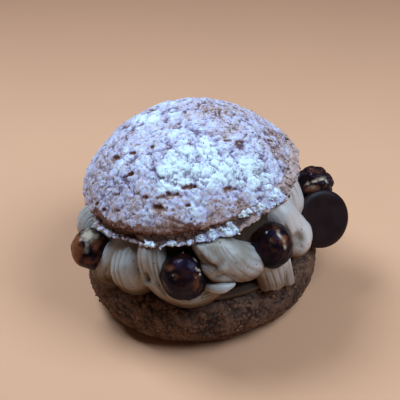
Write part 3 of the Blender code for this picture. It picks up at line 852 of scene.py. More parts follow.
def make_lid_side(finish):
    """The band, the ragged lip and the underside of the lid. It gives its points and the drifts on them."""
    radius, height = filled_profile(SIDE_PROFILE)
    points, facing, azimuth = carried_round(radius, height, SIDE_COLUMNS)
    degrees, out = np.degrees(azimuth), polar(1.0, azimuth, 0.0)
    tall, wide, upward = points[:, 2], np.hypot(*points.T[:2]), facing[:, 2]
    above = np.clip((tall - LIP_THICKNESS) / (BAND_HEIGHT - LIP_THICKNESS), 0, 1)
    lip = ramp(wide, *LIP_BEGINS)
    band = window(tall / MM, *BAND)
    beside = window(degrees, *BESIDE)
    drift = sugar_drifts(points, degrees, tall) * ramp(wide, *DRIFTS_BEGIN) * ramp(upward, -0.6, 0.0)
    lumps = 0.8 * caps(points, 3.4 * MM, 107) + 0.25 * caps(points, 1.5 * MM, 108)
    flakes = crumbs(points, 2.6 * MM, 0.45, 104)
    frayed = MM * (noises(points, (0.5, 2.4, 101)) - 0.9 * (1 - flakes))
    slow = MM * noises(points, (0.9, 7, 3)) + LIP_WAVE_HEIGHT * np.sin(LIP_WAVES * azimuth)
    outward = slow * (1 - above) * ramp(wide, *WAVES_BEGIN) + frayed * lip
    outward += BAND_BULGE * beside * window(tall / MM, *BULGE)
    relief, crack = crust_relief(points, 0.8)
    heap = drift * (DRIFT_THICKNESS + DRIFT_LUMPS * lumps)
    rise = relief * (band + 0.5 * lip * ramp(upward, -0.1, 0.4)) + heap
    moved = points + out * outward[:, None] + facing * rise[:, None]
    moved[:, 2] += lip * MM * noises(points, (0.4, 9, 109), (0.45, 3, 110))
    moved[:, 0] += CRUST_SHIFT * above
    sugar = drift - 0.35 * drift * (1 - ramp(lumps, 0.1, 0.6)) + 0.1 * beside * band
    sugar += noises(points, (0.3, 2.2, 111)) * (0.6 * drift + beside)
    pale = 0.9 * beside + 0.9 * ramp(wide, *PALE_LEFT_BEGINS) * window(degrees, *PALE_LEFT)
    pale += 0.8 * ramp(wide, *PALE_RIGHT_BEGINS) * window(degrees, *PALE_RIGHT)
    placed, faces = closed(moved, SIDE_COLUMNS, (0, 0, height[0]), (0, 0, height[-1]))
    marks = {"sugar": sugar, "crack": crack, "pale": np.clip(pale, 0, 1)}
    add_piece("lid_side", on_the_bun(placed), faces, finish, ["lid"], marks)
    return on_the_bun(moved), drift


print("lip", LIP_THICKNESS / MM, "mm thick")

# %% [markdown]
# Choux under a crust bakes to a warm brown, and the finish darkens its cracks. The finish has the same sugar
# colours as the crust, so that the clumps on the lip match it.

# %% The baked choux finish
CHOUX_BROWN = paint(91, 67, 62)
CHOUX_GOLD = paint(118, 86, 72)
CHOUX_DARK = paint(58, 36, 30)
CHOUX_PALE = paint(198, 166, 158)


def choux_side_finish():
    """The lid's brown side, pale where the mark says so, white where sugar lies."""
    finish = Finish("baked_choux_side", Roughness=0.82, Specular_IOR_Level=0.3)
    speckle = finish.noise(0.8 * MM, 3.0, 0.6)
    spots = finish.noise(3.5 * MM, 2.0, 0.5)
    crack = finish.mark("crack")
    cover = finish.mark("sugar") + (speckle - 0.5) * 0.5 - crack * 0.25
    colour = finish.layers(
        CHOUX_BROWN,
        (spots.step(0.38, 0.64), CHOUX_GOLD),
        ((finish.mark("pale") + (spots - 0.5) * 0.5).step(0.15, 0.9), CHOUX_PALE),
        ((crack + (speckle - 0.5) * 0.4).step(0.35, 1.0), CHOUX_DARK),
        (cover.step(0.2, 0.5), SUGAR_THIN),
        (cover.step(0.45, 0.85), SUGAR_THICK))
    return finish.feed(Base_Color=colour, Normal=finish.bumps(finish.noise(0.4 * MM, 2.0, 0.6), 0.12 * MM))


side_points, side_drift = make_lid_side(choux_side_finish())
print("lip's lowest point at", round(side_points[:, 2].min() / MM, 1), "mm")

# %% [markdown]
# The lower half of the bun is a fat ring of choux with a rough, sandy crust. Its side is two quarter
# ellipses, from the foot out to the widest place and back in to the rim. The same crumbs as on the lid, with
# finer sand and blisters, stand out along the side's own direction, and fade towards the foot so that it
# stands flat.

# %% The lower half
BASE_RADIUS = 42.0 * MM
BASE_WIDEST_HEIGHT = 10.5 * MM
BASE_FOOT_RADIUS = 32.0 * MM
BASE_TOP_RADIUS = 36.5 * MM
BASE_HEIGHT = 20.5 * MM
BASE_UNROUND = 0.9 * MM
BASE_UNROUND_PHASE = 0.6
BASE_COLUMNS = 860
BASE_SIDE_ROWS = 88
FOOT_FADE = 4.0 * MM
BASE_CRUMBS_FROM = 5.0 * MM
BASE_CRUMBS_TO = 19.5 * MM


def base_profile():
    """Radius and height of the lower half: a quarter ellipse out, a quarter ellipse in, and the flat top."""
    turn = np.linspace(0, math.pi / 2, BASE_SIDE_ROWS // 2)
    out = BASE_FOOT_RADIUS + (BASE_RADIUS - BASE_FOOT_RADIUS) * np.sin(turn)
    inward = BASE_RADIUS - (BASE_RADIUS - BASE_TOP_RADIUS) * (1 - np.cos(turn[1:]))
    top = np.array([35.5, 34.0, 31.0]) * MM
    low = BASE_WIDEST_HEIGHT * (1 - np.cos(turn))
    high = BASE_WIDEST_HEIGHT + (BASE_HEIGHT - BASE_WIDEST_HEIGHT) * np.sin(turn[1:])
    return np.concatenate([out, inward, top]), np.concatenate([low, high, np.full(3, BASE_HEIGHT)])


def make_base(finish):
    """The lower half of the bun, cracked and sandy. It gives the points where loose crumbs may lie."""
    points, _, azimuth = carried_round(*base_profile(), BASE_COLUMNS)
    flattened = (points[:, 2:] - BASE_WIDEST_HEIGHT) * (BASE_RADIUS / BASE_HEIGHT)
    away = unit(np.hstack([points[:, :2], flattened]))
    relief, crack = crust_relief(points, 0.85)
    sand = crumbs(points, 0.95 * MM, 0.6, 121)
    rise = relief + BASE_UNROUND * np.sin(2 * azimuth + BASE_UNROUND_PHASE)
    rise += MM * (0.14 * (sand - 0.6) + noises(points, (0.26, 3.4, 122)))
    points = points + away * (rise * np.clip(points[:, 2] / FOOT_FADE, 0, 1))[:, None]
    points[:, 2] = np.maximum(points[:, 2], 0)
    placed, faces = closed(points, BASE_COLUMNS, (0, 0, 0), (0, 0, BASE_HEIGHT))
    marks = {"crack": np.clip(crack + 0.25 * (1 - sand), 0, 1)}
    add_piece("base_crust", placed, faces, finish, ["base_bun"], marks)
    return points[(points[:, 2] > BASE_CRUMBS_FROM) & (points[:, 2] < BASE_CRUMBS_TO)]


BASE_BROWN = paint(84, 58, 46)
BASE_GOLD = paint(118, 83, 64)
BASE_SAND = paint(160, 116, 86)
BASE_DARK = paint(42, 27, 22)


def base_finish():
    """Brown choux crust, speckled with lighter sandy crumbs, with painted shade in its cracks."""
    finish = Finish("baked_choux", Roughness=0.8, Specular_IOR_Level=0.3)
    grain = finish.noise(1.2 * MM, 4.0, 0.68)
    # Painted shade in the cracks and between the sand crumbs, with darker grain at random.
    shadow = finish.mark("crack") * 0.6 + (0.5 - grain) * 0.8
    colour = finish.layers(
        BASE_BROWN,
        (finish.noise(5 * MM, 3.0, 0.65).step(0.35, 0.68), BASE_GOLD),
        (grain.step(0.56, 0.74) * 0.7, BASE_SAND),
        (shadow.step(0.12, 0.7), BASE_DARK))
    return finish.feed(Base_Color=colour, Normal=finish.bumps(finish.noise(0.4 * MM, 3.0, 0.65), 0.14 * MM))


base_points = make_base(base_finish())
print("base", BASE_RADIUS / MM, "mm in radius")

# %% [markdown]
# The cream was piped through a star nozzle in upright turns: each comes out under the lid, bulges and tucks
# in on the base. A turn is a star carried along a curve. The curve runs smoothly through a few stations, each
# given by azimuth, radius, height and thickness, and the star's rays become the ridges.

# %% The regular turns
CREAM_RADIUS = 42.4 * MM
CREAM_SHIFT = -1.6 * MM
RING_RADIUS = 25.0 * MM
TURN_SWING = 100
TURN_STATIONS = 7
TURN_TAPER = 0.14

# The regular turns: azimuth, slant from top to bottom (degrees), reach, thickness, foot height and ridge
# depth (mm).
TURNS = (
    (-177, 9, 0.8, 7.2, 17.4, 0.2), (-163, -6, -1.4, 7, 16.2, 0.16), (-130.5, 2, 0.9, 7.9, 15.4, 0.05),
    (-51, 6, -9, 6.8, 22, 0.2), (-5, 8, -3.4, 7.2, 18, 0.18), (20, -9, -1.6, 7.6, 17.4, 0.4),
    (44, 11, 0.3, 7.4, 16.8, 0.45), (67, 9, -0.3, 7.3, 17.2, 0.4), (91, -8, 0.4, 7.6, 16.4, 0.45),
    (115, 10, -0.2, 7.3, 17.6, 0.4), (139, -9, 0.5, 7.6, 16.2, 0.45), (162, 8, 0.2, 7.3, 17, 0.35),
)


def regular_turn(azimuth, slant, reach, thick, foot):
    """Stations of a turn: its swing goes from +100° under the lid to -100° at the foot.

    The cosine of the swing carries it out from the ring's middle, the sine up and down.
    """
    share = np.linspace(0, 1, TURN_STATIONS)
    angle = np.radians(azimuth + slant * (share - 0.5))
    swing = np.radians(TURN_SWING * (1 - 2 * share))
    top = lid_underside(CREAM_RADIUS * np.cos(angle), CREAM_RADIUS * np.sin(angle))
    size = thick * MM * (1 - TURN_TAPER + TURN_TAPER * np.cos(swing))
    outermost = CREAM_RADIUS + CREAM_SHIFT * np.cos(angle) + reach * MM - size
    radius = RING_RADIUS + (outermost - RING_RADIUS) * np.cos(swing)
    height = (foot * MM + top) / 2 + ((top - foot * MM) / 2 - size) * np.sin(swing)
    return np.stack([np.degrees(angle), radius, height, size], axis=1)


print("regular turns:", len(TURNS))

# %% [markdown]
# In front some turns leave the rule: loops under the nuts, hanging strands, a tongue on the base. No formula
# gives those, so their stations are written down one by one.

# %% The turns of their own
# Turns that leave the rule. Each point is azimuth (degrees), radius, height and thickness (mm).
SAGGING_BY_LEFT_NUT = (
    (-138, 26, 41, 4.6), (-139, 31, 37.5, 5), (-142, 34.6, 31.5, 6), (-148.5, 37.3, 22.8, 7.2),
    (-150, 36.2, 17.8, 6.9),
)
LOOP_UNDER_FRONT_NUT = (
    (-119, 29, 43, 4.5), (-118, 35.5, 40, 5), (-115, 37, 33, 5.4), (-108, 37.2, 27.6, 5.4),
    (-97, 37.4, 25.3, 5.1), (-86, 37.4, 26.8, 4), (-78, 37, 29, 2),
)
LOOP_SLANTING = (
    (-89, 27, 47, 5.5), (-85, 33, 43.6, 6.2), (-78, 35.8, 39.6, 6.8), (-70.5, 36, 35.7, 7.2),
    (-62, 33.4, 31.8, 6.6),
)
TONGUE = (
    (-92, 35, 24.2, 3), (-80, 35.4, 22.8, 2.5), (-69, 35.5, 21.8, 2.1), (-59, 35.5, 21.4, 1.8),
)
STRAND_WIDE = (
    (-54, 28, 40, 5), (-53, 33, 35, 5.6), (-51.8, 36, 30, 5.6), (-51.3, 37.2, 25.6, 5.5),
    (-51.3, 37.8, 21.8, 5.2),
)
STRAND_NARROW = (
    (-45, 31, 39, 3.4), (-44, 36, 33, 3.4), (-43, 38.2, 26.5, 3), (-42, 39.8, 18.4, 2.4),
)
BULGE_BY_BUTTON = (
    (-37, 26, 49, 6), (-35, 31, 44, 6.7), (-32, 34, 37, 7.2), (-28, 36.2, 30.6, 7.2),
    (-24, 31.5, 26.8, 6),
)
FOLD_UNDER_THE_SLANT = (
    (-91, 36, 39, 1.6), (-87, 38.4, 37.2, 2.6), (-82, 39.4, 35.4, 3.2), (-75, 39, 33.8, 3),
    (-68, 37, 33, 2.2),
)
CREST = (
    (-89.5, 40, 30.8, 0.8), (-86, 42, 31.4, 1.5), (-81.5, 43, 31.9, 1.7), (-77.5, 43, 32.3, 1),
    (-75.5, 42.6, 32.5, 0.4),
)
print("stations of the loop under the front nut:", len(LOOP_UNDER_FRONT_NUT))

# %% [markdown]
# The curve of a turn has to pass through its few stations without a corner, so it is a spline. Where a turn
# meets the lid it is squeezed flat: its height is blended into the underside's by a soft minimum.

# %% A curve under the lid
UNDER_THE_LID = 0.35 * MM
SQUEEZE = 0.35 * MM


def through(points, count):
    """Evenly spaced points on the smooth curve through the given ones (a Catmull-Rom spline)."""
    padded = np.vstack([2 * points[0] - points[1], points, 2 * points[-1] - points[-2]])
    at = np.linspace(0, len(points) - 1, count)
    span = np.minimum(at.astype(int), len(points) - 2)
    t = (at - span)[:, None]
    a, b, c, d = (padded[span + k] for k in range(4))
    return 0.5 * (2 * b + (c - a) * t + (2 * a - 5 * b + 4 * c - d) * t**2 + (3 * b - a - 3 * c + d) * t**3)


def squeezed(points):
    """The points with their height softly kept under the lid: limit - k log(1 + exp((limit - z) / k))."""
    limit = lid_underside(points[:, 0], points[:, 1]) - UNDER_THE_LID
    lowered = limit - SQUEEZE * np.logaddexp(0, (limit - points[:, 2]) / SQUEEZE)
    return np.column_stack([points[:, :2], lowered])


print("squeezed to", UNDER_THE_LID / MM, "mm under the lid")

# %% [markdown]
# Piped cream creases where it is pushed together and gapes where the bag was pulled away. Such folds and
# holes are short lines near the surface, and a bell across each line raises the cream or presses it in.

# %% Folds in the cream
FOLD_REACH = 2.0 * MM

# Folds pressed into or raised from the cream: width and height (mm, less than nothing for a groove), then the
# points of a line as azimuth (degrees), radius and height (mm).
FOLDS = (
    (0.55, -0.5, (-137.5, 40.5, 38), (-135.2, 43, 34.6), (-132.8, 43.8, 30.3), (-131, 43.4, 26),
     (-128, 41, 21.5)),
    (0.55, -0.45, (-133.8, 40, 39.4), (-132.2, 42.8, 35.6), (-130.3, 43.8, 31.6), (-128.2, 43.6, 26.8),
     (-124.8, 41, 22)),
    (0.6, -0.25, (-130, 40, 39.8), (-128.8, 42.5, 36.8), (-127.3, 43.3, 32.8), (-125, 43.2, 28)),
    (0.5, -0.55, (-115.7, 38.5, 43.8), (-114.2, 40.8, 40.2), (-113.3, 41.5, 36.5), (-111.1, 42, 32.4),
     (-107.9, 42.2, 28.8)),
    (0.55, -0.45, (-112.6, 38.5, 43.4), (-111.2, 40.8, 39.8), (-109.8, 41.7, 35.8), (-107, 42, 31.2)),
    (1.1, 0.9, (-140, 42.6, 26.4)),
    (0.6, -0.6, (-141.6, 42.6, 28), (-142.4, 42.8, 25.6), (-142.2, 42.2, 23.4), (-139.6, 41.5, 23.4)),
    (0.6, -0.45, (-149.5, 44, 24), (-147, 44.2, 22.2), (-144.8, 43.4, 20.8), (-141, 41.8, 20.2)),
    (0.6, -0.45, (-150.5, 43.4, 19.6), (-146.5, 43.4, 18.4), (-142.5, 42.4, 17.6)),
    (0.55, -0.8, (-148.3, 44.2, 24.6)),
    (1.3, 0.75, (-91.2, 36.6, 46.2), (-88.5, 38.8, 44.6), (-85.3, 40.6, 42.8)),
    (0.95, -1.1, (-90.5, 38, 43), (-87.3, 39.8, 41), (-84.4, 41.3, 40.2)),
    (1.1, 0.8, (-87, 40, 39.6), (-84.3, 41.2, 38.6), (-80.4, 42.2, 40.2)),
    (0.7, -0.45, (-84, 42, 36.6), (-80, 42.6, 37.2), (-76, 42.6, 36)),
    (0.8, 0.45, (-80.6, 42.3, 39.8), (-79.6, 42.3, 41.6)),
    (1, -1.5, (-117.2, 41.8, 34.6), (-116.2, 41.8, 32.8)),
    (0.9, 0.9, (-118.6, 41.7, 35), (-119.2, 42.2, 32.9), (-117.8, 42.3, 31.2), (-116.1, 42.3, 30.9)),
    (2.4, -1.6, (-35.6, 41.2, 36)),
    (1.3, 0.7, (-31.4, 41.2, 37.2), (-32.4, 42.6, 32.6), (-35.6, 42.4, 29.6)),
    (3, 0.7, (-38.7, 37.2, 45.5)), (0.7, -0.7, (-35.3, 42.2, 32.4)),
    (0.8, -0.55, (-41, 37.8, 42), (-40, 40, 38), (-39.6, 40.8, 34)),
)


def away_from(points, aims, line):
    """The distance of each point from a line through some points, measured across the point's own aim."""
    nearest = np.full(len(points), 1.0)
    for start, end in zip(line[:-1], line[1:]):
        way = end - start
        share = np.clip((points - start) @ way / (way @ way), 0, 1)
        apart = points - start - share[:, None] * way
        depth = np.sum(apart * aims, axis=1)
        across = np.linalg.norm(apart - aims * depth[:, None], axis=1)
        nearest = np.minimum(nearest, np.where(np.abs(depth) < FOLD_REACH, across, 1.0))
    return nearest


def folded(points, aims):
    """How far the folds raise each point along its aim, in metres: a bell across each fold's line.

    The first station is doubled and shifted a hair, so that a fold of one station is a very short line.
    """
    height = np.zeros(len(points))
    for width, rise, *stations in FOLDS:
        azimuth, radius, tall = np.array([stations[0], *stations], float).T
        line = polar(radius, np.radians(azimuth), tall) * MM
        line[0] += 0.01 * MM
        away = away_from(points, aims, line) / (width * MM)
        height += rise * MM * np.exp(-(away**2))
    return height


print("folds:", len(FOLDS))

# %% [markdown]
# A ridge of piped cream has a rounded crest and a sharp valley, like the absolute value of a sine. Fine lines
# twice as close run between the broad ridges. Both turn a little round the rope as it is laid, wander, and
# fade here and there, where the bag was pressed less or the cream was smeared.

# %% The ridged rope
SIDES_PER_RIDGE = 12
FINE_SHARE = 0.4
FOLDED_FROM_THICKNESS = 1.8 * MM
LOW_FROM = 32.0 * MM
LOW_FULL = 23.0 * MM


def rope(stations, rings, ridges, depth, twist, salt, torn=0.0, flat=0.75, sway=0.9, shade=0.0):
    """Points, faces and marks of one ridged turn.

    A point is the centre plus (thickness + ridge + lumps + folds) along a direction that turns round the
    curve, which starts away from the middle of the cream. A low power flat makes broad flutes with narrow
    valleys, and sway is how far the ridges wander. Torn frays the last ring, where a strand broke off, and
    shade adds painted shade over the whole turn; less than nothing paints it lighter. The marks are painted
    shade: in the valleys and grooves, where the cream faces down and where it lies low.
    """
    sides = ridges * SIDES_PER_RIDGE
    azimuth, radius, height, thickness = through(stations, rings).T
    centre = polar(radius, np.radians(azimuth), height)
    heart = polar(RING_RADIUS, np.radians(azimuth), np.mean(height))
    along = unit(np.gradient(centre, axis=0))
    out = centre - heart
    out = unit(out - along * np.sum(out * along, axis=1)[:, None])
    turn = np.arange(sides)[:, None] * TAU / sides
    aim = (out[:, None] * np.cos(turn) + np.cross(along, out)[:, None] * np.sin(turn)).reshape(-1, 3)
    middle = np.repeat(centre, sides, axis=0)
    thick = np.repeat(thickness, sides)
    rough = middle + aim * thick[:, None]
    phase = 0.5 * ridges * (np.tile(turn[:, 0], rings) + twist * np.repeat(np.linspace(0, 1, rings), sides))
    phase += sway * soft_noise(rough, 8 * MM, salt)
    broad = np.abs(np.sin(phase)) ** flat
    fine = np.abs(np.sin(2 * phase + noises(rough, (0.8, 5, salt + 6))))
    strong = np.clip(0.6 + soft_noise(rough, 9 * MM, salt + 1), 0.05, 1.3)
    fine_strong = FINE_SHARE * np.clip(0.5 + noises(rough, (1.1, 6, salt + 7)), 0, 1.2)
    ridge = strong * (broad - 0.66) + fine_strong * (fine - 0.64)
    lumps = MM * noises(rough, (0.35, 6, salt + 2), (0.12, 2.2, salt + 3))
    grain = MM * noises(rough, (0.03, 0.8, salt + 4))
    fold = folded(rough, aim) * (thick > FOLDED_FROM_THICKNESS)
    rise = np.clip(thick / (3 * MM), 0, 1) * (depth * ridge + lumps) + grain + fold
    points = middle + aim * (thick + rise)[:, None]
    if torn:
        frayed = 0.3 + soft_noise(rough[-sides:], 1.8 * MM, salt + 5)
        points[-sides:] += along[-1] * (torn * frayed)[:, None]
    # The valley mark is painted shade in the ridges' valleys and the folds' grooves.
    broad_share = np.clip(depth / (0.3 * MM), 0, 1) * (1 - broad) * strong
    valley = np.clip(broad_share + 0.3 * fine_strong * (1 - fine) - fold / (0.8 * MM), 0, 1)
    # The under mark is painted shade where the cream faces down and lies low, plus the turn's shade.
    low = ramp(-points[:, 2], -LOW_FROM, -LOW_FULL)
    under = np.clip(0.75 * ramp(-aim[:, 2], -0.25, 0.55) + 0.65 * low + shade, 0, 1.5)
    placed, faces = closed(points, sides, centre[0], centre[-1] + along[-1] * (0.2 * torn))
    return squeezed(placed), faces, np.vstack([np.column_stack([valley, under]), np.zeros((2, 2))])


def joined(parts):
    """Several meshes as one: their points, their sets of faces numbered on, and the rows of their marks."""
    points, face_sets, marks = zip(*parts)
    starts = np.cumsum([0] + [len(table) for table in points])
    faces = [table + start for tables, start in zip(face_sets, starts) for table in tables]
    return np.vstack(points), faces, np.vstack(marks)


print("points round a ridge:", SIDES_PER_RIDGE)

# %% [markdown]
# Praline cream is butter and custard with ground nuts: pale beige, dense, with a soft sheen, and specked with
# bits of roasted skin. Painted shade deepens its colour in the valleys between the ridges, where it faces
# down and where it lies low, and painted light brightens its right side.

# %% The cream's finish
# Painted light brightens the right side; painted shade darkens the valleys, what faces down and what lies
# low.
CREAM_PALE = paint(182, 177, 175)
CREAM_WARM = paint(166, 154, 142)
CREAM_PAINTED_SHADE = paint(110, 80, 52)
CREAM_PAINTED_LIGHT = paint(218, 208, 204)
CREAM_PAINTED_DEEP_SHADE = paint(62, 44, 30)
CREAM_VALLEY_SHADE_AND_STREAK = paint(126, 104, 82)
SPECK = paint(52, 36, 28)
PAINTED_LIGHT_FROM, PAINTED_LIGHT_FULL = 14 * MM, 34 * MM


def praline_finish():
    """Smooth beige cream with sparse dark specks, with painted light on the right and painted shade below."""
    finish = Finish("praline_cream", Specular_IOR_Level=0.5, Subsurface_Weight=0.08,
                    Subsurface_Radius=(1.0, 0.6, 0.35), Subsurface_Scale=1.2 * MM)
    clouds = finish.noise(8 * MM, 3.0, 0.55)
    fine = finish.noise(0.9 * MM, 3.0, 0.6)
    under = finish.mark("under")
    colour = finish.layers(
        CREAM_PALE,
        (clouds.step(0.35, 0.7), CREAM_WARM),
        (finish.place_along("X").step(PAINTED_LIGHT_FROM, PAINTED_LIGHT_FULL), CREAM_PAINTED_LIGHT),
        (under * 0.95 + (clouds - 0.5) * 0.3, CREAM_PAINTED_SHADE),
        (under.step(0.9, 1.5), CREAM_PAINTED_DEEP_SHADE),
        (finish.mark("valley") * 0.7, CREAM_VALLEY_SHADE_AND_STREAK),
        (fine.step(0.58, 0.75) * 0.35, CREAM_VALLEY_SHADE_AND_STREAK),
        ((finish.cells(3.1 * MM) + (fine - 0.5) * 0.05).step(0.105, 0.075) * 0.85, SPECK))
    return finish.feed(Base_Color=colour, Roughness=clouds * 0.2 + 0.28 + under.step(0.7, 1.3) * 0.5,
                       Normal=finish.bumps(finish.noise(0.7 * MM, 3.0, 0.6), 0.05 * MM))


praline = praline_finish()
print("finish:", praline.name)

# %% [markdown]
# Twelve regular turns and nine of their own make the ring. They stay separate closed ropes that run into each
# other, as piped turns do, and they are kept in four pieces of moderate size. Behind them a lumpy core closes
# the gaps.

# %% Piping the cream
TURN_RINGS = 90
TURN_RIDGES = 16
TWISTS = (-0.35, 0.45)
CORE_RADIUS = 33.0 * MM
CORE_LOW = 18.5 * MM
CORE_HIGH = 54.0 * MM
CORE_COLUMNS = 240
CORE_ROWS = 60
# The core is coloured in deep painted shade.
CORE_SHADE = 1.35

# The turns of their own: stations, rings, ridges, ridge depth (mm), twist (radians), fray of the end (mm),
# power of the ridges, sway (radians), and how much painted shade darkens the turn (less than nothing paints
# it lighter).
OWN_TURNS = (
    (SAGGING_BY_LEFT_NUT, 80, 14, 0.12, 0.3, 0.0, 0.75, 0.9, 0.15),
    (LOOP_UNDER_FRONT_NUT, 130, 12, 0.30, 0.5, 0.0, 0.75, 0.6, 0.0),
    (LOOP_SLANTING, 110, 14, 0.24, -0.9, 0.0, 0.75, 0.9, 0.0),
    (TONGUE, 90, 6, 0.15, 0.2, 0.0, 0.75, 0.9, 1.2),
    (STRAND_WIDE, 80, 14, 0.36, 0.0, 1.1, 0.4, 0.3, 0.2),
    (STRAND_NARROW, 80, 8, 0.25, 0.0, 0.8, 0.5, 0.3, 0.0),
    (BULGE_BY_BUTTON, 100, 14, 0.10, 0.5, 0.0, 0.75, 0.9, 0.0),
    (FOLD_UNDER_THE_SLANT, 80, 8, 0.20, 0.3, 0.0, 0.75, 0.9, 0.2),
    (CREST, 60, 4, 0.0, 0.0, 0.0, 0.75, 0.0, -0.6),
)

# Which turns, counted from the first regular one, each piece holds.
CREAM_PIECES = {"left": (0, 1, 2, 11, 12), "back": range(7, 11), "right": range(3, 7), "front": range(13, 21)}


def core():
    """The full centre: a wall with soft upright ridges, from the base to under the lid, in deep painted
    shade.
    """
    heights = np.linspace(CORE_LOW, CORE_HIGH, CORE_ROWS)
    points, _, azimuth = carried_round(np.full(CORE_ROWS, CORE_RADIUS), heights, CORE_COLUMNS)
    swell = MM * (noises(points, (0.8, 7, 201)) + 0.3 * np.abs(np.sin(40 * azimuth)))
    points[:, :2] *= 1 + swell[:, None] / CORE_RADIUS
    placed, faces = closed(points, CORE_COLUMNS, (0, 0, CORE_LOW), (0, 0, CORE_HIGH))
    return squeezed(placed), faces, np.tile([0.0, CORE_SHADE], (len(placed), 1))


def make_cream():
    """All the turns, in four pieces, with the core in the one at the back."""
    ropes = []
    for number, (*turn, depth) in enumerate(TURNS):
        salt = 300 + 10 * number
        ropes.append(rope(regular_turn(*turn), TURN_RINGS, TURN_RIDGES, depth * MM, TWISTS[number % 2], salt))
    for number, (stations, rings, ridges, depth, twist, torn, *looks) in enumerate(OWN_TURNS):
        salt = 500 + 10 * number
        in_metres = np.array(stations) * [1, MM, MM, MM]
        ropes.append(rope(in_metres, rings, ridges, depth * MM, twist, salt, torn * MM, *looks))
    for side, numbers in CREAM_PIECES.items():
        parts = [ropes[number] for number in numbers] + ([core()] if side == "back" else [])
        points, faces, marks = joined(parts)
        marks = {"valley": marks[:, 0], "under": marks[:, 1]}
        add_piece(f"cream_{side}", points, faces, praline, ["cream"], marks)


make_cream()
print("cream pieces:", len(CREAM_PIECES))

# %% [markdown]
# The hazelnuts were roasted, then dipped in caramel, which set dark and glossy over skins that were already
# mottled. Each nut is a lumpy ball with a flatter scar. Its colour is painted by four marks: pale, where the
# skin is off or the caramel thin, and where white specks on the front nut are painted glints; red, where the
# light comes through the coat; thick, where the coat shines most; and a fourth mark for burnt patches at
# random, which also holds painted shade over each nut's lower half. The spots of the first three are given as
# seen from the front, as shares of the nut's radius to the right and up.

# %% The hazelnuts' places
# Centre and half sizes (mm), turn about Z (degrees).
NUTS = {
    "hazelnut_front": ((-6.2, -36.7, 33.3), (8.5, 8.2, 8.8), 10),
    "hazelnut_right": ((23.9, -28.9, 38.0), (7.3, 7.6, 8.2), 55),
    "hazelnut_side": ((42.4, 8.3, 34.2), (6.5, 6.8, 6.3), 80),
    "hazelnut_left": ((-38.5, -16.5, 29.3), (7.5, 7.4, 7.5), 20),
    "hazelnut_back_right": ((15.0, 38.5, 36.0), (7.6, 7.3, 7.7), 130),
    "hazelnut_back_left": ((-28.5, 29.0, 31.5), (7.4, 7.6, 7.8), 200),
}
NUT_COLUMNS = 120
NUT_ROWS = 72
NUT_SCAR = 0.05
CRUMBLED_NUT = "hazelnut_side"

# Spots: right and up, half length and half width, as shares of the radius, turn (degrees), strength.
PALE_SPOTS = {
    # On the front nut the small white specks at the top and on the right are painted glints.
    "hazelnut_front": (
        (-0.05, 0.88, 0.04, 0.04, 0, 0.9), (0.43, 0.58, 0.13, 0.04, -52, 0.9),
        (0.57, 0.2, 0.15, 0.06, -10, 1), (0.46, 0.28, 0.06, 0.06, 0, 0.9),
        (0.63, 0.04, 0.06, 0.07, 0, 0.9), (0.46, -0.08, 0.05, 0.05, 0, 0.6),
        (0.31, 0.37, 0.04, 0.04, 0, 0.5), (-0.43, 0, 0.07, 0.07, 0, 0.45)),
    "hazelnut_right": (
        (0.28, 0.4, 0.22, 0.12, -55, 0.9), (0.49, 0.16, 0.16, 0.1, -60, 0.55),
        (0.53, -0.08, 0.13, 0.07, -60, 0.8), (-0.16, 0, 0.13, 0.12, 0, 0.35)),
    "hazelnut_side": (
        (-0.45, 0.02, 0.22, 0.12, 20, 0.75), (-0.1, 0.17, 0.27, 0.12, 20, 0.9),
        (0.3, 0.3, 0.24, 0.13, 15, 1), (0.58, 0.17, 0.15, 0.1, -50, 1),
        (-0.25, -0.17, 0.32, 0.2, 0, 0.55)),
    "hazelnut_left": (
        (-0.1, 0.6, 0.36, 0.3, 0, 1), (0.2, 0.62, 0.22, 0.18, 0, 0.6),
        (-0.16, 0.22, 0.18, 0.14, 90, 0.55), (-0.17, -0.06, 0.24, 0.2, 90, 0.5)),
    "hazelnut_back_right": (
        (0.3, 0.3, 0.2, 0.12, 40, 0.8), (-0.2, 0.1, 0.2, 0.1, -30, 0.6)),
    "hazelnut_back_left": (
        (-0.2, 0.4, 0.25, 0.2, 10, 0.8), (0.3, -0.1, 0.2, 0.1, 60, 0.6)),
}
RED_SPOTS = {
    "hazelnut_front": (
        (-0.64, 0.34, 0.4, 0.14, -14, 0.6), (-0.4, 0, 0.22, 0.18, 0, 0.4),
        (0.5, -0.25, 0.25, 0.5, 0, 0.45)),
    "hazelnut_right": (
        (0, 0.2, 0.3, 0.3, 0, 0.4), (0.25, 0.7, 0.35, 0.15, -20, 0.4), (0, -0.24, 0.3, 0.25, 0, 0.35),
        (0.45, 0.22, 0.32, 0.24, -60, 0.75)),
    "hazelnut_side": (
        (-0.1, 0.75, 0.5, 0.2, 0, 0.4), (-0.2, -0.3, 0.5, 0.3, 0, 0.7)),
    "hazelnut_left": (
        (-0.7, -0.15, 0.4, 0.7, 0, 1), (-0.65, 0.44, 0.25, 0.25, 0, 1), (0.25, 0.2, 0.35, 0.4, 0, 0.7),
        (-0.1, -0.6, 0.6, 0.35, 0, 0.55)),
    "hazelnut_back_right": ((0, -0.2, 0.5, 0.3, 0, 0.6),),
    "hazelnut_back_left": ((0, -0.2, 0.5, 0.3, 0, 0.6),),
}
THICK_SPOTS = {"hazelnut_right": ((-0.36, 0.52, 0.16, 0.16, 0, 1),)}
print("nuts:", len(NUTS))

# %% [markdown]
# Rows of a ball run from pole to pole and columns round it, with a fan closing each pole. The lumps read the
# direction of each point, and finer wrinkles of set caramel come on top. The nut at the side was bitten open
# by the heat: its coat is crumbled, and its pale inside shows.


# %% The hazelnuts
def spotted(seen, spots, frayed):
    """A mark with soft oval spots: the strongest of their bells, whose borders the noise frays."""
    mark = np.zeros(len(seen))
    for right, up, *oval, strength in spots:
        along, across = in_oval(seen[:, 0] - right, seen[:, 1] - up, *oval)
        mark = np.maximum(mark, strength * np.exp(-(along**2 + across**2) * (1 + frayed)))
    return mark * (seen[:, 2] > 0)


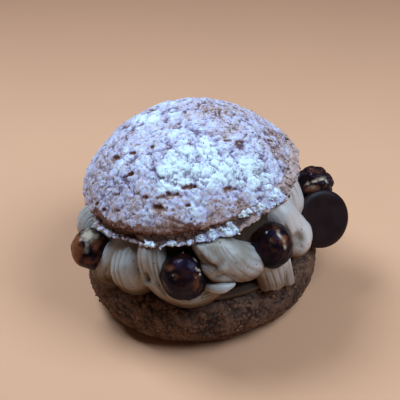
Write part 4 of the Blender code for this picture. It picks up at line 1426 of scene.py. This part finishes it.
def make_nut(name, centre, half_sizes, turn, finish):
    """A hazelnut in caramel: direction x (half size, less at the scar, plus lumps and wrinkles)."""
    lean = np.linspace(-math.pi / 2, math.pi / 2, NUT_ROWS + 2)[1:-1, None]
    ball = polar(np.cos(lean), np.arange(NUT_COLUMNS) * TAU / NUT_COLUMNS, np.sin(lean))
    aims, faces = closed(ball, NUT_COLUMNS, (0, 0, -1), (0, 0, 1))
    half = np.array(half_sizes) * MM
    salt = int(abs(centre[0]) * 10)
    at = aims * half
    wrinkles = noises(at, (0.20, 1.9, salt + 1), (0.07, 0.8, salt + 2))
    reach = MM * (noises(at + salt * MM, (0.35, 5, salt)) + wrinkles)
    scar = 1 - NUT_SCAR * np.clip(aims[:, 0], 0, 1) ** 2
    spin = np.array(rotation(turn, "Z"))
    seen = aims @ spin.T @ np.array(CAMERA_AXES)
    frayed = noises(at, (0.6, 1.3, salt + 3), (0.4, 3, salt + 6))
    spots = {"pale": PALE_SPOTS, "red": RED_SPOTS, "thick": THICK_SPOTS}
    marks = {mark: spotted(seen, table.get(name, ()), frayed) for mark, table in spots.items()}
    # Burnt patches at random, and painted shade over the nut's lower half.
    marks["burnt_and_painted_shade"] = 0.5 + noises(at, (0.5, 4.5, salt + 4)) + 0.7 * ramp(-aims[:, 2], -0.1, 0.4)
    if name == CRUMBLED_NUT:
        coat = 1 - np.clip(marks["pale"] * 1.4, 0, 1)
        reach += MM * (coat * (0.8 * caps(at, 2.2 * MM, salt + 5) - 0.4) - 0.9 * (1 - coat))
        marks["burnt_and_painted_shade"] = 0.3 * marks["burnt_and_painted_shade"] + 0.35 * coat
    points = (aims * (half * scar[:, None] + reach[:, None])) @ spin.T + np.array(centre) * MM
    add_piece(name + "_caramel", points, faces, finish, [name], marks)


CARAMEL_SHEEN = paint(120, 104, 225)
CARAMEL_DARK = paint(28, 15, 15)
CARAMEL_BROWN = paint(62, 32, 24)
CARAMEL_BURNT_AND_SHADE = paint(15, 11, 12)
CARAMEL_RED = paint(128, 74, 45)
BARE_NUT_AND_GLINT = paint(206, 184, 160)


def caramel_finish():
    """Dark glossy caramel over mottled skin, paler and duller where the coat is thin."""
    finish = Finish("caramelised_nut", Coat_Roughness=0.08, Coat_IOR=1.4, Specular_IOR_Level=0.16,
                    Specular_Tint=CARAMEL_SHEEN)
    mottle = finish.noise(2.2 * MM, 4.0, 0.62)
    streaks = finish.noise(1.0 * MM, 3.0, 0.6)
    pale, red, burnt_and_painted_shade, thick = (finish.mark(name) for name in ("pale", "red", "burnt_and_painted_shade", "thick"))
    colour = finish.layers(
        CARAMEL_DARK,
        ((mottle + streaks * 0.25).step(0.5, 0.8), CARAMEL_BROWN),
        # Burnt patches and the painted shade of the lower half take the near-black colour.
        ((burnt_and_painted_shade + (mottle - 0.5) * 0.6).step(0.35, 0.75), CARAMEL_BURNT_AND_SHADE),
        ((red + (mottle - 0.5) * 1.1).step(0.15, 0.9), CARAMEL_RED),
        # The pale mark gives bare nut, and on the front nut painted glints.
        ((pale + (streaks - 0.5) * 0.6).step(0.16, 1.0), BARE_NUT_AND_GLINT))
    return finish.feed(Base_Color=colour, Roughness=0.26 + pale * 0.25 + burnt_and_painted_shade * 0.25,
                       Coat_Weight=(1 - pale) * (1 - burnt_and_painted_shade.step(0.0, 1.0)) * 0.3 + thick,
                       Normal=finish.bumps(streaks, 0.06 * MM))


caramel = caramel_finish()
for nut_name, measures in NUTS.items():
    make_nut(nut_name, *measures, caramel)
print("caramelised nuts made")

# %% [markdown]
# The chocolate button was dropped from a bag on a cold sheet: a flat face, rounded edges and a very soft
# sheen. It is a profile of quarter ellipses carried round its axis, then stood up and turned as its solid is.

# %% The chocolate button
BUTTON_CENTRE = np.array([43.8, -4.5, 28.0]) * MM
BUTTON_RADIUS = 10.6 * MM
BUTTON_HALF = 1.3 * MM
BUTTON_ROUNDING = 1.1 * MM
BUTTON_EDGE_WIDTH = 2.4 * MM
BUTTON_MIDDLE = 0.5 * MM
BUTTON_TURN_DEGREES = 25.0
BUTTON_RISE_DEGREES = 28.0
BUTTON_COLUMNS = 200
CHOCOLATE = paint(29, 13, 15)
CHOCOLATE_BLOOM = paint(39, 20, 22)


def button_profile():
    """Radius and height of the button: flat and a quarter ellipse, then the same upside down.

    BUTTON_HALF is half the thickness.
    """
    turn = np.linspace(0, math.pi / 2, 9)
    face = np.linspace(BUTTON_MIDDLE, BUTTON_RADIUS - BUTTON_EDGE_WIDTH, 12)[:-1]
    edge = BUTTON_RADIUS - BUTTON_EDGE_WIDTH * (1 - np.sin(turn))
    low = np.append(0 * face, BUTTON_ROUNDING * (1 - np.cos(turn))) - BUTTON_HALF
    radius = np.append(face, edge)
    return np.append(radius, radius[::-1]), np.append(low, -low[::-1])


def make_button(finish):
    """The button, with the slight unevenness of a face that set on paper."""
    points, facing, _ = carried_round(*button_profile(), BUTTON_COLUMNS)
    points = points + facing * MM * noises(points, (0.05, 4, 701))[:, None]
    placed, faces = closed(points, BUTTON_COLUMNS, (0, 0, -BUTTON_HALF), (0, 0, BUTTON_HALF))
    turn = np.array(rotation(BUTTON_TURN_DEGREES, "Z") @ rotation(90 - BUTTON_RISE_DEGREES, "X"))
    placed = placed @ turn.T + BUTTON_CENTRE
    add_piece("chocolate_disc", placed, faces, finish, ["chocolate_button"])


def chocolate_finish():
    """Dark chocolate with a faint, uneven bloom."""
    finish = Finish("dark_chocolate", Specular_IOR_Level=0.2)
    bloom = finish.noise(5 * MM, 4.0, 0.6)
    colour = finish.layers(CHOCOLATE, (bloom.step(0.35, 0.75), CHOCOLATE_BLOOM))
    return finish.feed(Base_Color=colour, Roughness=bloom * 0.25 + 0.32,
                       Normal=finish.bumps(finish.noise(1.4 * MM, 3.0, 0.6), 0.03 * MM))


make_button(chocolate_finish())
print("button", 2 * BUTTON_RADIUS / MM, "mm across")

# %% [markdown]
# Grains of sugar and crumbs are too small to show a form of their own, so one ball of twenty triangles stands
# for them all. For clots, which are larger, each of its triangles is cut in four.

# %% One grain
GOLDEN = (1 + math.sqrt(5)) / 2
PAIRS = [(near, far) for far in (GOLDEN, -GOLDEN) for near in (-1, 1)]
GRAIN_POINTS = np.array(
    [(a, b, 0) for a, b in PAIRS] + [(0, a, b) for a, b in PAIRS] + [(b, 0, a) for a, b in PAIRS]
) / math.hypot(1, GOLDEN)
GRAIN_FACES = np.array([
    (0, 11, 5), (0, 5, 1), (0, 1, 7), (0, 7, 10), (0, 10, 11), (1, 5, 9), (5, 11, 4), (11, 10, 2), (10, 7, 6),
    (7, 1, 8), (3, 9, 4), (3, 4, 2), (3, 2, 6), (3, 6, 8), (3, 8, 9), (4, 9, 5), (2, 4, 11), (6, 2, 10),
    (8, 6, 7), (9, 8, 1),
])
GRAIN = (GRAIN_POINTS, GRAIN_FACES)


def finer_ball(points, faces):
    """The ball with each triangle cut in four: a new point in the middle of each edge, pushed out to 1."""
    edges = np.sort(np.concatenate([faces[:, [0, 1]], faces[:, [1, 2]], faces[:, [2, 0]]]), axis=1)
    kept, number = np.unique(edges, axis=0, return_inverse=True)
    ab, bc, ca = (number.ravel() + len(points)).reshape(3, -1)
    a, b, c = faces.T
    corners = [(a, ab, ca), (b, bc, ab), (c, ca, bc), (ab, bc, ca)]
    finer = np.concatenate([np.stack(corner, axis=1) for corner in corners])
    return np.vstack([points, unit(points[kept].sum(axis=1))]), finer


print("triangles of a grain:", len(GRAIN_FACES))

# %% [markdown]
# Loose icing sugar and crumbs of craquelin finish the crust. There are far too many to place by hand, so
# random points of the crust are drawn from a seeded generator, and the same grain is turned and stretched at
# each. All the grains of a kind are one mesh. Most are small, because a power of the random number is taken.

# %% Loose grains
STRETCH = (0.5, 1.4)
DENTS = (0.78, 1.12)
chance = np.random.default_rng(7)

# How many grains, the smallest, the range above it (mm), and the power of the random number between.
SUGAR_GRAINS = (1500, 0.12, 0.16, 2)
CRUST_CRUMBS = (400, 0.18, 0.26, 2)
GREY_SUGAR = paint(186, 196, 212)
CRUMB_PALE = paint(190, 168, 162)
CRUMB_TAN = paint(150, 120, 112)


def random_turns(count):
    """Random rotation matrices, from random unit quaternions."""
    drawn = chance.normal(size=(4, count))
    w, x, y, z = drawn / np.linalg.norm(drawn, axis=0)
    rows = [
        [1 - 2 * (y * y + z * z), 2 * (x * y - z * w), 2 * (x * z + y * w)],
        [2 * (x * y + z * w), 1 - 2 * (x * x + z * z), 2 * (y * z - x * w)],
        [2 * (x * z - y * w), 2 * (y * z + x * w), 1 - 2 * (x * x + y * y)],
    ]
    return np.moveaxis(np.array(rows), 2, 0)


def scatter(name, ball, points, weight, amount, finish, spread=0.0):
    """Grains at points drawn by their weight, each with its own turn, stretch, dents and size."""
    shape, shape_faces = ball
    count, smallest, more, power = amount
    share = None if weight is None else weight / weight.sum()
    places = points[chance.choice(len(points), count, replace=False, p=share)]
    if spread:
        places = places + spread * chance.normal(size=(count, 3))
    radius = MM * (smallest + more * chance.random(count) ** power)
    stretch = chance.uniform(*STRETCH, size=(count, 1, 3))
    dents = chance.uniform(*DENTS, size=(count, len(shape), 1))
    grains = shape[None] * stretch * dents * radius[:, None, None]
    turned = np.einsum("nij,npj->npi", random_turns(count), grains)
    faces = (shape_faces[None] + len(shape) * np.arange(count)[:, None, None]).reshape(-1, 3)
    add_piece(name, (turned + places[:, None]).reshape(-1, 3), [faces], finish)


def grain_finish(name, light, dark):
    """A dull grain whose colour varies a little from place to place."""
    finish = Finish(name, Roughness=0.9, Specular_IOR_Level=0.2)
    colour = finish.layers(dark, (finish.noise(1.5 * MM).step(0.35, 0.65), light))
    return finish.feed(Base_Color=colour, Normal=finish.bumps(finish.noise(0.3 * MM), 0.05 * MM))


sugar_grain = grain_finish("sugar_grain", SUGAR_THICK, GREY_SUGAR)
crumb_grain = grain_finish("crust_crumb", CRUMB_PALE, CRUMB_TAN)
sugared = np.clip(crust_sugar, 0.02, 1) * crust_open
unsugared = np.clip(0.8 - crust_sugar, 0, 1) * crust_open
scatter("sugar_grains", GRAIN, crust_points, sugared, SUGAR_GRAINS, sugar_grain)
scatter("crust_crumbs", GRAIN, crust_points, unsugared, CRUST_CRUMBS, crumb_grain)

# %% [markdown]
# The lower half carries crumbs too, golden ones, because no sugar reached it. Every point of its side is as
# likely as the others.

# %% Crumbs on the lower half
BASE_CRUMBS = (420, 0.2, 0.45, 2)
CRUMB_GOLD = paint(148, 106, 76)
CRUMB_BROWN = paint(102, 70, 52)
golden_crumb = grain_finish("golden_crumb", CRUMB_GOLD, CRUMB_BROWN)
scatter("base_crumbs", GRAIN, base_points, None, BASE_CRUMBS, golden_crumb)

# %% [markdown]
# Where sugar fell past the crust it lies on the lid's side in drifts with crumbs in them. The drifts are
# part of the side's own surface, so only their loose clots are added here, in the same way as the grains, but
# rounder and larger.

# %% Sugar clots on the side
SUGAR_CLOTS = (120, 0.16, 0.5, 3)
CLOT_SPREAD = 0.15 * MM
clot = finer_ball(*GRAIN)
drifted = side_drift**2
scatter("sugar_clots", clot, side_points, drifted, SUGAR_CLOTS, sugar_grain, CLOT_SPREAD)

# %% Sizes and the end
dressed_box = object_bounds()
boxes = {"cad": cad_box, "visual": dressed_box}
plain = {name: [[float(value) for value in corner] for corner in box] for name, box in boxes.items()}
for name, box in plain.items():
    print(name, [round(value / MM, 1) for corner in box for value in corner])
